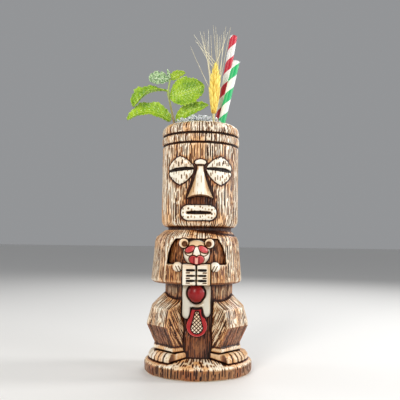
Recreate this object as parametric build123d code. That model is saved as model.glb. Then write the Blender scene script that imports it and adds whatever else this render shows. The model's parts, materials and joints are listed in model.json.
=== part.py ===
from build123d import *
import math
import os

# A carved-look ceramic tiki mug with its drink garnish, in millimetres.
# Origin: centre of the underside. +Z is up and the mask faces -Y.
# "Left" and "right" are the viewer's, looking at the mask: left is -X.

# ---- driving dimensions: ceramic body --------------------------------------------------
mug_height = 200.0
base_radius = 43.6
base_height = 10.0
base_edge = 1.4
base_mound = 14.5            # height of the plinth's top where it meets the body
foot_ring_radius = 29.0      # radius of the body where it stands in the plinth
foot_ring_top = 26.0
waist_radius = 27.5
waist_bottom = 36.0
waist_top = 70.0
torso_radius = 30.5
torso_bottom = 74.5
torso_top = 105.0
neck_radius = 25.8
neck_bottom = 112.8
head_radius = 31.5
head_bottom = 115.2
head_edge_round = 5.0
rim_round = 6.5
rim_crest_radius = 25.6
mouth_radius = 23.5          # clear opening at the rim
shelf_height = 196.0         # where the inside narrows to the mouth
ring_heights = (182.0, 189.8)
ring_depth = 1.6
ring_half_height = 1.3
floor_top = 16.0             # inside floor of the cavity
wall = 3.5
throat_radius = neck_radius - wall + 0.6
seat_height = base_height + 1.0  # the body stands this high in the plinth's socket

# ---- driving dimensions: mask ---------------------------------------------------------
eye_slit_height = 160.5
eye_inner_x = 4.8
eye_apex_x = 16.4
eye_outer_x = 25.0
eye_top = 170.6
eye_bottom = 148.2
eye_slit_half = 1.2
brow_height = 165.5
brow_size = (9.2, 4.6)
lid_relief = 2.2
nose_top = 163.4
nose_bottom = 136.6
nose_top_half = 4.0
nose_bottom_half = 11.0
nose_reach = 12.5            # how far the nose tip stands out of the head
mouth_height = 126.2
mouth_x = -0.8               # the mouth is set a little off centre
mouth_size = (28.4, 11.8)
slit_size = (20.0, 2.0)
lip_relief = 2.8

# ---- driving dimensions: arms, hands, legs ------------------------------------------------
figure_x = -2.1              # the arms and the cub sit this far off the mug's axis
arm_bottom = 70.6
arm_top = 113.0
shoulder_height = 107.6
arm_radius_low = 37.2
arm_radius_high = 34.3
arm_edge = 2.2                # rounding-off of the torso block's lower edge
recess_top = 106.0
forearm_top = 86.0
hand_width = 10.4
hand_front = 41.5
hand_back = 24.0
hand_top = 86.5
finger_gaps = (82.1, 77.9, 74.2)
finger_groove = (8.0, 2.4, 0.9)
hips_x = -0.8
foot_height = 18.6
foot_radius = 40.4
# Horizontal sections of the right leg: height, inner edge at the waist, front ridge, front of the
# side, back of the side, corner of the seat, and how far back the seat reaches.
leg_sections = (
    (10.0, (8.0, -25.6), (16.6, -30.4), (33.2, -14.0), (34.0, 6.0), (25.0, 24.0), 31.0),
    (18.6, (8.0, -25.6), (16.6, -30.4), (33.2, -14.0), (34.0, 6.0), (25.0, 24.0), 31.0),
    (19.6, (8.2, -25.6), (18.9, -33.6), (34.4, -14.5), (35.2, 6.0), (25.8, 24.8), 31.8),
    (22.2, (8.4, -25.4), (18.9, -33.6), (34.4, -14.5), (35.2, 6.0), (25.8, 24.8), 31.8),
    (23.2, (8.6, -25.4), (17.7, -32.2), (33.4, -14.0), (34.4, 6.0), (25.2, 24.2), 31.2),
    (38.6, (9.8, -25.0), (23.4, -37.0), (40.2, -16.0), (41.6, 6.0), (29.4, 28.4), 35.4),
    (51.6, (10.8, -24.6), (21.0, -35.6), (35.8, -17.2), (38.0, 6.0), (27.8, 27.2), 34.2),
    (57.0, (11.0, -24.4), (12.8, -26.2), (31.0, -12.6), (32.6, 6.0), (23.5, 24.5), 31.5),
    (62.0, (11.0, -23.0), (11.4, -23.4), (26.8, -8.0), (27.6, 7.0), (19.0, 21.5), 28.4),
)

# ---- driving dimensions: cub and pendant -----------------------------------------------------
cub_radius = 10.2
cub_centre = (figure_x, -29.8, 95.0)
cub_ear_offset = (9.9, 7.4)   # across and up from the centre of the head
cub_ear_radius = 3.6
cub_ear_hollow = 2.2
cub_eye_offset = (5.1, 2.9)
cub_eye_half = (4.0, 2.2)
cub_eye_tilt = 28.0
cub_nose_rise = 4.6
cub_nose_length = 6.8
muzzle_drop = 4.9
muzzle_lobe = 2.9
paw_offset = 14.4
paw_centre = (-36.0, 84.4)    # y and height
paw_radius = 3.8
belly_radius = 7.3
belly_centre = (-1.9, -29.4, 64.3)
cub_legs_front = waist_radius + 5.5
pear_x = -1.2
pear_bottom = 31.2
pear_top = 53.3
pear_half = 7.9
core_half = 4.4
core_back = waist_radius + 2.4   # radius of the pocket's floor

# ---- driving dimensions: garnish ---------------------------------------------------------------
straw_radius = 3.0
straw_wall = 0.4
straw_length = 197.0
red_straw_top = (27.1, 2.0, 279.7)
red_straw_lean = 9.3
green_straw_top = (29.0, -6.0, 255.0)
green_straw_lean = 12.8
wheat_foot = (8.7, -13.0, 150.0)
wheat_lean = 1.6
ear_bottom = 207.5
ear_top = 254.0
ear_radius = 4.6
awn_tip_height = 284.0
awn_count = 15
awn_radius = 0.3
awn_fan = (7.0, 16.8)        # middle of the tips, and how far they spread each way
stalk_radius = 1.1
mint_x = -21.6
mint_foot = 165.0
stem_radius = 0.9
leaf_thickness = 0.9
ice_bottom = 170.0
ice_top = 208.5
ice_gap = 0.3

REACH = 70.0                 # longer than any cut has to be


def turned(outline):
    """Solid of revolution about Z from (radius, height) corners."""
    return revolve(Plane.XZ * make_face(Polyline(*outline, close=True)), Axis.Z)


def front_slab(face, back=0.0):
    """A front-view face (X across, Z up) pushed forward from y = back."""
    return Pos(0, back, 0) * extrude(Plane.XZ * face, amount=REACH + back)


def polygon(*corners):
    return make_face(Polyline(*corners, close=True))


def arc_path(*points):
    """Closed face through triples of points: each arc is (start, middle, end)."""
    edges = Curve()
    for start, middle, end in points:
        edges += ThreePointArc(start, middle, end)
    return make_face(edges)


def largest(shape):
    return max(shape.solids(), key=lambda solid: solid.volume)


def fitted(piece, *neighbours):
    """Trim a piece against the pieces it is luted to, so that the faces only touch."""
    for neighbour in neighbours:
        piece = piece - neighbour
    return largest(piece)


def drum(radius, bottom, top):
    return Pos(0, 0, (bottom + top) / 2) * Cylinder(radius, top - bottom)


def mirrored(piece):
    return mirror(piece, about=Plane.YZ)


# ---- ceramic body ----------------------------------------------------------------------


def vessel_outer():
    """Outline of the cast body: foot, waist, torso, neck and the round head."""
    crest = mug_height
    edges = Polyline(
        (0, seat_height),
        (foot_ring_radius, seat_height),
        (foot_ring_radius, foot_ring_top),
        (waist_radius, waist_bottom),
        (waist_radius, waist_top),
        (torso_radius, torso_bottom),
        (torso_radius, torso_top),
        (torso_radius - 2.0, torso_top + 5.0),
        (neck_radius, neck_bottom),
        (neck_radius, head_bottom),
        (head_radius - head_edge_round, head_bottom),
    )
    edges += RadiusArc(
        (head_radius - head_edge_round, head_bottom),
        (head_radius, head_bottom + head_edge_round),
        -head_edge_round,
    )
    corner = (head_radius, head_bottom + head_edge_round)
    for height in ring_heights:
        edges += Polyline(
            corner,
            (head_radius, height - ring_half_height),
            (head_radius - ring_depth, height),
            (head_radius, height + ring_half_height),
        )
        corner = (head_radius, height + ring_half_height)
    edges += Polyline(corner, (head_radius, crest - rim_round))
    edges += ThreePointArc(
        (head_radius, crest - rim_round), (head_radius - 1.8, crest - 1.9), (rim_crest_radius, crest)
    )
    edges += Line((rim_crest_radius, crest), (0, crest))
    edges += Line((0, crest), (0, seat_height))
    return revolve(Plane.XZ * make_face(edges), Axis.Z)


def cavity():
    """The drink space, which follows the outside at one wall's distance."""
    return turned([
        (0, floor_top),
        (foot_ring_radius - wall - 1.5, floor_top),
        (foot_ring_radius - wall, floor_top + 3.0),
        (waist_radius - wall, waist_bottom + 2.0),
        (waist_radius - wall, waist_top + 1.0),
        (torso_radius - wall, torso_bottom + 1.5),
        (torso_radius - wall, torso_top - 2.0),
        (throat_radius, neck_bottom - 2.8),
        (throat_radius, head_bottom + 2.3),
        (head_radius - wall, head_bottom + 7.8),
        (head_radius - wall, shelf_height - 8.0),
        (mouth_radius, shelf_height),
        (mouth_radius, mug_height - 1.5),
        (rim_crest_radius - 0.6, mug_height + 0.01),
        (0, mug_height + 0.01),
    ])


def base_plinth():
    return turned([
        (0, 0),
        (base_radius - base_edge, 0),
        (base_radius, base_edge),
        (base_radius, base_height - base_edge),
        (base_radius - base_edge, base_height),
        (foot_ring_radius, base_mound),
        (foot_ring_radius, seat_height),
        (0, seat_height),
    ])


# ---- mask --------------------------------------------------------------------------------


def on_head(face, relief):
    """A relief piece that follows the round head, standing out by relief."""
    return front_slab(face) & drum(head_radius + relief, head_bottom, mug_height)


def upper_eyelid(side):
    slit = eye_slit_height + eye_slit_half
    face = arc_path(
        ((side * eye_inner_x, slit), (side * 10.6, slit + 5.9), (side * eye_apex_x, eye_top)),
        ((side * eye_apex_x, eye_top), (side * 21.6, slit + 5.8), (side * eye_outer_x, slit - 0.8)),
        ((side * eye_outer_x, slit - 0.8), (side * 15.0, slit + 0.3), (side * eye_inner_x, slit)),
    )
    return on_head(face, lid_relief)


def lower_eyelid(side):
    slit = eye_slit_height - eye_slit_half
    face = arc_path(
        ((side * eye_inner_x, slit), (side * 9.2, slit - 6.4), (side * eye_apex_x, eye_bottom)),
        ((side * eye_apex_x, eye_bottom), (side * 22.2, slit - 6.6), (side * eye_outer_x, slit - 1.2)),
        ((side * eye_outer_x, slit - 1.2), (side * 15.0, slit - 0.1), (side * eye_inner_x, slit)),
    )
    return on_head(face, lid_relief)


def nose():
    """Rounded ridge that widens and stands further out towards its arched lower edge."""
    root = head_radius - 2.5
    stations = (
        (nose_bottom, nose_bottom_half, 2.5 + nose_reach - 1.0),
        (nose_bottom + 4.0, nose_bottom_half - 0.8, 2.5 + nose_reach),
        ((nose_top + nose_bottom) / 2, 7.0, 10.0),
        (nose_top, nose_top_half, 4.2),
    )
    sections = [Pos(0, -root, height) * Ellipse(half, depth) for height, half, depth in stations]
    arch_radius = 34.0
    arch = Pos(0, -root, nose_bottom + 2.6 - arch_radius) * Rot(90, 0, 0) * Cylinder(arch_radius, REACH)
    return loft(sections) - arch


def brow_bead():
    return on_head(Pos(0, brow_height) * Ellipse(brow_size[0] / 2, brow_size[1] / 2), lid_relief)


def lip(sign):
    """Half of the capsule-shaped mouth: sign +1 is the upper lip, -1 the lower one."""
    ring = Pos(mouth_x, mouth_height) * (SlotOverall(*mouth_size) - SlotOverall(*slit_size))
    half = Pos(0, mouth_height + sign * mouth_size[1] / 2) * Rectangle(2 * mouth_size[0], mouth_size[1])
    return on_head(ring & half, lip_relief)


# ---- arms and hands ------------------------------------------------------------------------


def right_arm():
    """Half of the torso block: yoke under the chin, shoulder, upper arm, forearm and half of the back."""
    shell = Pos(0, 0, (arm_bottom + arm_top) / 2) * Cone(
        arm_radius_low, arm_radius_high - 0.6, arm_top - arm_bottom
    )
    shoulder = turned([
        (0, arm_bottom), (arm_radius_low - arm_edge, arm_bottom), (arm_radius_low, arm_bottom + arm_edge),
        (arm_radius_low + 1.0, 102.0), (arm_radius_high, shoulder_height - 3.5),
        (arm_radius_high - 1.4, shoulder_height), (26.4, arm_top), (0, arm_top),
    ])
    front = polygon(
        (hand_width + 0.3, arm_bottom), (REACH, arm_bottom), (REACH, arm_top), (0, arm_top),
        (0, recess_top), (16.5, recess_top), (20.5, 100.0), (22.5, 93.0),
        (23.3, forearm_top), (hand_width + 0.3, forearm_top),
    )
    back = polygon((0, arm_bottom), (REACH, arm_bottom), (REACH, arm_top), (0, arm_top))
    region = front_slab(front) + Pos(0, REACH, 0) * front_slab(back)
    return (shell & shoulder) & region


def right_hand():
    """Clenched hand with three grooves that part the four fingers."""
    height = hand_top - arm_bottom
    depth = hand_front - hand_back
    middle = Pos(hand_width / 2 + 0.3, -hand_back - depth / 2, arm_bottom + height / 2)
    block = middle * Box(hand_width - 0.4, depth, height)
    block = fillet(block.faces().sort_by(Axis.Y)[0].edges(), 1.6)
    for gap in finger_gaps:
        block -= Pos(3.6, -hand_front, gap) * Box(*finger_groove)
    return block


# ---- legs and feet ---------------------------------------------------------------------------


def right_leg():
    """Squatting leg: flat-faced thigh and knee, shin back in to the ankle cuff, and half of the seat."""
    sections = []
    for height, inner, ridge, side_front, side_back, corner, seat in leg_sections:
        outline = polygon(inner, ridge, side_front, side_back, corner, (0, seat), (0, 5), (inner[0], 5))
        sections.append(Pos(0, 0, height) * outline)
    return loft(sections, ruled=True)


def right_foot():
    """Splayed foot, lying on the plinth with its toes at the edge."""
    body = turned([
        (0, base_height), (foot_radius, base_height), (foot_radius, foot_height - 4.5),
        (foot_radius - 2.5, foot_height - 1.3), (foot_radius - 6.0, foot_height), (0, foot_height),
    ])
    wedge = polygon((4.6, -16.0), (7.6, -27.6), (22.4, -33.4), (26.0, -REACH), (REACH, -REACH), (REACH, 12.0))
    return body & extrude(wedge, amount=REACH)


# ---- cub ------------------------------------------------------------------------------------------


def on_cub(face, relief):
    """A relief piece that follows the round head of the cub."""
    return front_slab(face, back=cub_centre[1]) & (Pos(*cub_centre) * Sphere(cub_radius + relief))


def cub_ear(side):
    """Round ear with a deep hollow in its face."""
    across, rise = cub_ear_offset
    height = cub_centre[2] + rise
    disc = Pos(cub_centre[0] + side * across, -31.5, height) * Rot(90, 0, 0) * Cylinder(cub_ear_radius, 9.0)
    hollow = Pos(cub_centre[0] + side * (across - 0.5), -36.2, height - 0.5) * Sphere(cub_ear_hollow)
    return disc - hollow


def cub_eye_patch(side):
    across, rise = cub_eye_offset
    place = Pos(cub_centre[0] + side * across, cub_centre[2] + rise)
    face = place * Rot(0, 0, -side * cub_eye_tilt) * Ellipse(*cub_eye_half)
    return on_cub(face, 0.9)


def cub_nose():
    middle, top = cub_centre[0], cub_centre[2] + cub_nose_rise
    bottom = top - cub_nose_length
    outline = polygon(
        (middle - 0.7, top), (middle + 0.7, top), (middle + 3.1, bottom), (middle - 3.1, bottom)
    )
    return on_cub(outline, 2.0)


def cub_muzzle():
    """Three soft lobes under the cub's nose."""
    middle, height = cub_centre[0], cub_centre[2] - muzzle_drop
    lobes = Pos(middle - 2.7, height) * Circle(muzzle_lobe) + Pos(middle + 2.7, height) * Circle(muzzle_lobe)
    lobes += Pos(middle, height - 2.6) * Circle(muzzle_lobe - 0.6)
    return on_cub(lobes, 3.4)


def cub_paw(side):
    return Pos(figure_x + side * paw_offset, *paw_centre) * Sphere(paw_radius)


def cub_legs():
    """Two hanging legs joined by the band that cradles the belly."""
    left = Pos(-10.0, 58.5) * Rectangle(6.2, 22.0) + Pos(-10.0, 47.4) * Circle(3.1)
    right = Pos(6.1, 59.5) * Rectangle(6.8, 20.0) + Pos(6.1, 49.2) * Circle(3.4)
    cradle = Pos(belly_centre[0], 61.5) * (Circle(9.4) - Circle(6.2))
    band = cradle & Pos(0, 50.0) * Rectangle(30, 20)
    return front_slab(left + right + band) & drum(cub_legs_front, 40.0, arm_bottom)


def pear_outline(half, bottom, top, neck_half):
    centre = bottom + half
    body = Pos(pear_x, centre) * Circle(half)
    neck = polygon(
        (pear_x - half * 0.88, centre + half * 0.45), (pear_x + half * 0.88, centre + half * 0.45),
        (pear_x + neck_half, top), (pear_x - neck_half, top),
    )
    return body + neck


def pear_pendant():
    """Hanging pear-shaped charm, with a pocket that holds its woven centre."""
    outer = pear_outline(pear_half, pear_bottom, pear_top, 3.3)
    body = front_slab(outer) & drum(waist_radius + 4.4, pear_bottom - 1, pear_top + 1)
    mouth = front_slab(pear_outline(core_half, pear_bottom + 2.4, pear_top - 3.0, 1.2))
    return body - (mouth - drum(core_back, 0, pear_top + 1))


def pear_core():
    face = pear_outline(core_half - 0.1, pear_bottom + 2.5, pear_top - 3.2, 1.1)
    layer = drum(waist_radius + 5.0, pear_bottom, pear_top) - drum(core_back, pear_bottom, pear_top)
    return front_slab(face) & layer


# ---- garnish --------------------------------------------------------------------------------------


def leaning(lean):
    """Unit vector of an axis that leans to the right by so many degrees."""
    angle = math.radians(lean)
    return Vector(math.sin(angle), 0, math.cos(angle))


def rod(start, direction, radius, length):
    plane = Plane(origin=start, z_dir=direction)
    return extrude(plane * Circle(radius), amount=length)


def straw(top, lean):
    axis = leaning(lean)
    foot = Vector(*top) - axis * straw_length
    tube = rod(foot, axis, straw_radius, straw_length)
    return tube - rod(foot - axis, axis, straw_radius - straw_wall, straw_length + 2)


def wheat_point(height):
    """Point on the wheat's axis at a height."""
    axis = leaning(wheat_lean)
    return Vector(*wheat_foot) + axis * ((height - wheat_foot[2]) / axis.Z)


def wheat_stalk():
    length = (wheat_point(ear_bottom) - Vector(*wheat_foot)).length
    return rod(Vector(*wheat_foot), leaning(wheat_lean), stalk_radius, length)


def wheat_ear():
    """Spindle that holds the grains, standing on the stalk."""
    length = (wheat_point(ear_top) - wheat_point(ear_bottom)).length
    side = Polyline((0, 0), (2.0, 0)) + ThreePointArc((2.0, 0), (ear_radius, length * 0.45), (1.2, length))
    side += Polyline((1.2, length), (0, length), (0, 0))
    spindle = revolve(Plane.XZ * make_face(side), Axis.Z)
    return Plane(origin=wheat_point(ear_bottom), z_dir=leaning(wheat_lean)) * spindle


def wheat_awns(ear):
    """Long stiff bristles fanning out of the ear."""
    bristles = []
    for index in range(awn_count):
        spread = index / (awn_count - 1) * 2 - 1
        start = wheat_point(ear_bottom + 14.0 + 22.0 * (index % 3) / 2) + Vector(spread * 3.2, 0, 0)
        rise = awn_tip_height - 6.0 * abs(spread) - 4.0 * (index % 2)
        sway = 2.4 * math.sin(2.4 * index)
        tip = Vector(awn_fan[0] + spread * awn_fan[1], wheat_foot[1] + sway, rise)
        line = tip - start
        bristle = rod(start, line.normalized(), awn_radius, line.length) - ear
        bristles.append(largest(bristle))
    return Compound(children=bristles)


def mint_stem():
    foot = (mint_x, 0, mint_foot)
    bend = (mint_x, 0, mug_height - 1.0)
    path = Line(foot, bend)
    path += Spline(
        bend, (-26.6, 0, 215.0), (-28.0, 0, 227.6), (-26.5, 0, 240.5), tangents=((0, 0, 1), (0.2, 0, 1))
    )
    return sweep(Plane(origin=foot, z_dir=(0, 0, 1)) * Circle(stem_radius), path=path)


def leaf(base, tip, width, normal):
    """Flat pointed oval blade from its base to its tip."""
    base = Vector(*base)
    along = Vector(*tip) - base
    length = along.length
    blade = arc_path(
        ((0, 0), (length / 2, width / 2), (length, 0)),
        ((length, 0), (length / 2, -width / 2), (0, 0)),
    )
    across = Vector(*normal).cross(along)
    plane = Plane(origin=base, x_dir=along, z_dir=along.cross(across))
    return extrude(plane * blade, amount=leaf_thickness / 2, both=True)


mint_leaves = {
    "mint_leaf_pale": ((-27.2, 0, 240.6), (-44.2, -1.5, 240.0), 11.5, (0, -1, 0.2)),
    "mint_leaf_small": ((-25.7, 0, 241.2), (-13.8, -1.0, 246.6), 7.0, (0, -1, 0.3)),
    "mint_tip": ((-26.5, 0.3, 241.8), (-29.2, 0.5, 249.4), 1.8, (0, -1, 0)),
    "mint_leaf_large": ((-26.6, 0, 228.4), (1.0, -3.0, 233.6), 25.5, (0, -1, 0.1)),
    "mint_leaf_drooping": ((-28.9, 0, 231.4), (-57.3, -3.0, 216.5), 11.0, (0, -0.6, 1)),
    "mint_leaf_low_left": ((-25.9, 0, 209.0), (-61.2, -5.0, 207.0), 16.0, (0, -0.8, 0.6)),
    "mint_leaf_low_right": ((-22.6, -0.6, 208.4), (6.0, -5.5, 219.0), 9.0, (0, -1, 0.3)),
}


def crushed_ice(rods):
    """Packed ice at the mouth, with a free channel round everything that stands in it."""
    fill = turned([
        (0, ice_bottom), (head_radius - wall - ice_gap, ice_bottom),
        (head_radius - wall - ice_gap, shelf_height - 8.5), (mouth_radius - ice_gap, shelf_height - 0.5),
        (mouth_radius - ice_gap, mug_height), (20.5, mug_height + 4.0), (12.0, ice_top - 1.5), (0, ice_top),
    ])
    for channel in rods:
        fill -= channel
    return largest(fill)


# ---- the whole mug ----------------------------------------------------------------------------------


def both_sides(piece, middle):
    """The left and right copies of a right-hand piece, mirrored about x = middle."""
    shift = Pos(middle, 0, 0)
    return {"left": shift * mirrored(piece), "right": shift * piece}


def mask_pieces(outer):
    pieces = {}
    for name, side in (("left", -1), ("right", 1)):
        pieces[name + "_upper_eyelid"] = fitted(upper_eyelid(side), outer)
        pieces[name + "_lower_eyelid"] = fitted(lower_eyelid(side), outer)
    pieces["nose"] = fitted(nose(), outer)
    pieces["brow_bead"] = fitted(brow_bead(), outer, pieces["nose"])
    pieces["upper_lip"] = fitted(lip(1), outer)
    pieces["lower_lip"] = fitted(lip(-1), outer)
    return pieces


def cub_pieces(outer, hands):
    pieces = {}
    below = drum(REACH, 0, hand_top + 0.1)
    head = fitted(Pos(*cub_centre) * Sphere(cub_radius), outer, below)
    pieces["cub_head"] = head
    for name, side in (("left", -1), ("right", 1)):
        pieces[name + "_cub_paw"] = fitted(cub_paw(side), outer, hands[name], head)
        pieces[name + "_cub_ear"] = fitted(cub_ear(side), outer, head)
        pieces[name + "_cub_eye"] = fitted(cub_eye_patch(side), head, outer)
    eyes = (pieces["left_cub_eye"], pieces["right_cub_eye"])
    pieces["cub_nose"] = fitted(cub_nose(), head, outer, *eyes)
    pieces["cub_muzzle"] = fitted(
        cub_muzzle(), head, outer, pieces["cub_nose"], hands["left"], hands["right"], *eyes
    )
    ceiling = drum(REACH, arm_bottom, 90)
    belly = fitted(Pos(*belly_centre) * Sphere(belly_radius), outer, ceiling)
    pieces["cub_belly"] = belly
    pieces["pear_pendant"] = fitted(pear_pendant(), outer)
    pieces["pear_core"] = fitted(pear_core(), outer)
    pieces["cub_legs"] = fitted(cub_legs(), outer, belly, pieces["pear_pendant"])
    return pieces


def ceramic_pieces():
    outer = vessel_outer()
    plinth = base_plinth()
    pieces = {"vessel": largest(outer - cavity()), "base_plinth": plinth}
    pieces.update(mask_pieces(outer))
    hands = both_sides(right_hand(), figure_x)
    hands = {side: fitted(hand, outer) for side, hand in hands.items()}
    pieces.update(cub_pieces(outer, hands))
    arms = both_sides(right_arm(), figure_x)
    legs = both_sides(right_leg(), hips_x)
    feet = both_sides(right_foot(), 0)
    for side in ("left", "right"):
        ears = (pieces["left_cub_ear"], pieces["right_cub_ear"])
        pieces[side + "_hand"] = hands[side]
        pieces[side + "_arm"] = fitted(
            arms[side], outer, hands[side], pieces[side + "_cub_paw"], pieces["cub_head"], *ears
        )
        pieces[side + "_foot"] = fitted(feet[side], outer, plinth)
        pieces[side + "_leg"] = fitted(legs[side], outer, plinth, pieces["cub_legs"], pieces[side + "_foot"])
    return pieces


def garnish_pieces():
    pieces = {}
    pieces["red_straw"] = straw(red_straw_top, red_straw_lean)
    pieces["green_straw"] = straw(green_straw_top, green_straw_lean)
    ear = wheat_ear()
    pieces["wheat_stalk"] = wheat_stalk()
    pieces["wheat_ear"] = ear
    pieces["wheat_awns"] = wheat_awns(ear)
    stem = mint_stem()
    pieces["mint_stem"] = stem
    made = [stem]
    for name, shape in mint_leaves.items():
        pieces[name] = fitted(leaf(*shape), *made)
        made.append(pieces[name])
    channels = [
        rod(Vector(*wheat_foot), leaning(wheat_lean), stalk_radius + ice_gap, REACH),
        rod(Vector(mint_x, 0, mint_foot), Vector(0, 0, 1), stem_radius + ice_gap, REACH),
    ]
    for top, lean in ((red_straw_top, red_straw_lean), (green_straw_top, green_straw_lean)):
        foot = Vector(*top) - leaning(lean) * straw_length
        channels.append(rod(foot, leaning(lean), straw_radius + ice_gap, straw_length))
    pieces["crushed_ice"] = crushed_ice(channels)
    return pieces


def main():
    os.makedirs("parts", exist_ok=True)
    pieces = {**ceramic_pieces(), **garnish_pieces()}
    for name, piece in pieces.items():
        export_step(piece, "parts/" + name + ".step")


main()
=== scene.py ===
import json
import math

import bmesh
import bpy
import numpy as np
from mathutils import Matrix, Vector
from mathutils.bvhtree import BVHTree
from mathutils.kdtree import KDTree


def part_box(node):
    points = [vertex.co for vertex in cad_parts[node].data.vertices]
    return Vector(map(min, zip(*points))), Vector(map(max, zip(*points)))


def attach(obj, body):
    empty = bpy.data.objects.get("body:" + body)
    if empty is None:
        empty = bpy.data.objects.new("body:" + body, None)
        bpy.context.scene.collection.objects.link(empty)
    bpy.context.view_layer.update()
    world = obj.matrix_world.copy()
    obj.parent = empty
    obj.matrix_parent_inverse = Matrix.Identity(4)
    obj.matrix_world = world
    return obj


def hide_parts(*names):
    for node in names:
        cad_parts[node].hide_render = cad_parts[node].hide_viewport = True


# The looks of a carved ceramic tiki mug and its drink garnish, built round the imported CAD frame.
# All work on vertices is done in millimetres; +Z is up and the mask faces -Y.

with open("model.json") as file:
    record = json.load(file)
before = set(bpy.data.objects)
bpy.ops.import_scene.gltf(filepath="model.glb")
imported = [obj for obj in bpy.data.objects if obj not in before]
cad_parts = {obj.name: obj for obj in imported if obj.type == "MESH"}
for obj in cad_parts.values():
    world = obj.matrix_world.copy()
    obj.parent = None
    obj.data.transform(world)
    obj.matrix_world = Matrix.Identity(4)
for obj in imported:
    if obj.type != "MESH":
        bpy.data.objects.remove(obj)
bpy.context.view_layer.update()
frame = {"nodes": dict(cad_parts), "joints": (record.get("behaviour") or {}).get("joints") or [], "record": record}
MM = 0.001
SIDES = ("left", "right")


# ---- numbers and noise -----------------------------------------------------------------


def smoothstep(low, high, value):
    t = np.clip((value - low) / (high - low), 0.0, 1.0)
    return t * t * (3 - 2 * t)


def unit(vector):
    return vector / max(np.linalg.norm(vector), 1e-9)


def lattice(ix, iy, iz, seed):
    """Repeatable random value in 0..1 for each whole-numbered lattice point."""
    h = (ix * 374761393 + iy * 668265263 + iz * 1440662683 + seed * 1274126177) & 0xFFFFFFFF
    h = ((h ^ (h >> 13)) * 1274126177) & 0xFFFFFFFF
    return ((h ^ (h >> 16)) & 0xFFFF) / 65535.0


def noise(points, size, seed):
    """Smooth value noise in 0..1 over points (n, 3), with blobs about size across."""
    p = np.asarray(points) / size
    cell = np.floor(p).astype(np.int64)
    f = p - cell
    f = f * f * (3 - 2 * f)
    total = np.zeros(len(p))
    for corner in range(8):
        dx, dy, dz = corner & 1, corner >> 1 & 1, corner >> 2 & 1
        weight = np.ones(len(p))
        for axis, step in enumerate((dx, dy, dz)):
            weight = weight * (f[:, axis] if step else 1 - f[:, axis])
        total += weight * lattice(cell[:, 0] + dx, cell[:, 1] + dy, cell[:, 2] + dz, seed)
    return total


def notch(away, half, steep=1.6):
    """Depth in 0..1 of one cut: full near its middle line, and none from half its width away."""
    return np.clip(steep * (1 - away / half), 0, 1)


def grooves(across, along, spacing, width, seed, wander=0.5, stroke=(14.0, 42.0), duty=0.88):
    """Depth in 0..1 of hand-cut strokes that run along one coordinate and repeat across the other."""
    draw = np.random.default_rng(seed)
    depth = np.zeros(len(across))
    place = across.min() - spacing
    while place < across.max() + spacing:
        half = width * draw.uniform(0.55, 1.35)
        strength = draw.uniform(0.45, 1.0)
        length = draw.uniform(*stroke)
        bend = wander * np.sin(along / draw.uniform(5.0, 14.0) + draw.uniform(0, 6.28))
        t = np.mod(along / length + draw.uniform(0, 1), 1.0)
        taper = smoothstep(0.0, 0.12, t) * (1 - smoothstep(duty - 0.12, duty, t))
        depth = np.maximum(depth, strength * taper * notch(np.abs(across - place - bend), half))
        place += spacing * draw.uniform(0.55, 1.5)
    return depth


# ---- meshes ----------------------------------------------------------------------------


def add_object(name, data):
    obj = bpy.data.objects.new(name, data)
    bpy.context.scene.collection.objects.link(obj)
    return obj


def make_object(name, points_mm, faces):
    """A smooth-shaded mesh object from points in mm."""
    mesh = bpy.data.meshes.new(name)
    mesh.from_pydata((np.asarray(points_mm) * MM).tolist(), [], faces)
    mesh.update()
    mesh.shade_smooth()
    return add_object(name, mesh)


def read_floats(items, name, width=1):
    """A row of numbers for each item of a mesh's vertices, normals or attribute."""
    values = np.zeros(len(items) * width, np.float32)
    items.foreach_get(name, values)
    return values.reshape(-1, width).astype(float)


def read_points(obj):
    return read_floats(obj.data.vertices, "co", 3) / MM


def write_points(obj, points_mm):
    obj.data.vertices.foreach_set("co", (points_mm * MM).astype(np.float32).ravel())
    obj.data.update()


def read_normals(obj):
    return read_floats(obj.data.vertex_normals, "vector", 3)


def read_attribute(obj, name):
    return read_floats(obj.data.attributes[name].data, "value")[:, 0]


def set_attribute(obj, name, values):
    layer = obj.data.attributes.get(name) or obj.data.attributes.new(name, "FLOAT", "POINT")
    layer.data.foreach_set("value", np.asarray(values, np.float32))


def neighbour_average(obj):
    """Returns a function that averages a per-vertex array over each vertex's neighbours."""
    pairs = np.zeros(len(obj.data.edges) * 2, np.int32)
    obj.data.edges.foreach_get("vertices", pairs)
    a, b = pairs.reshape(-1, 2).T
    count = len(obj.data.vertices)
    degree = np.maximum(np.bincount(a, minlength=count) + np.bincount(b, minlength=count), 1)

    def average(values):
        columns = []
        for column in values.T:
            total = np.bincount(a, column[b], count) + np.bincount(b, column[a], count)
            columns.append(total / degree)
        return np.array(columns).T

    return average


def relax(points, average, rounds, share=0.5):
    """Draws each point part of the way to the middle of its neighbours, so many times."""
    for _ in range(rounds):
        points = points + share * (average(points) - points)
    return points


def joined_mesh(nodes):
    """The meshes of some CAD nodes as one, without the faces on which they touch each other."""
    whole = bmesh.new()
    for node in nodes:
        part = bmesh.new()
        part.from_mesh(frame["nodes"][node].data)
        others = [n for n in nodes if n != node]
        if others:
            tree = tree_of(others)
            touch = 0.01 * MM
            near = [(f, tree.find_nearest(f.calc_center_median(), touch)[0]) for f in part.faces]
            hidden = [face for face, found in near if found is not None]
            bmesh.ops.delete(part, geom=hidden, context="FACES")
        mesh = bpy.data.meshes.new("part")
        part.to_mesh(mesh)
        part.free()
        whole.from_mesh(mesh)
        bpy.data.meshes.remove(mesh)
    bmesh.ops.remove_doubles(whole, verts=whole.verts, dist=0.02 * MM)
    mesh = bpy.data.meshes.new("joined")
    whole.to_mesh(mesh)
    whole.free()
    return mesh


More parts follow.
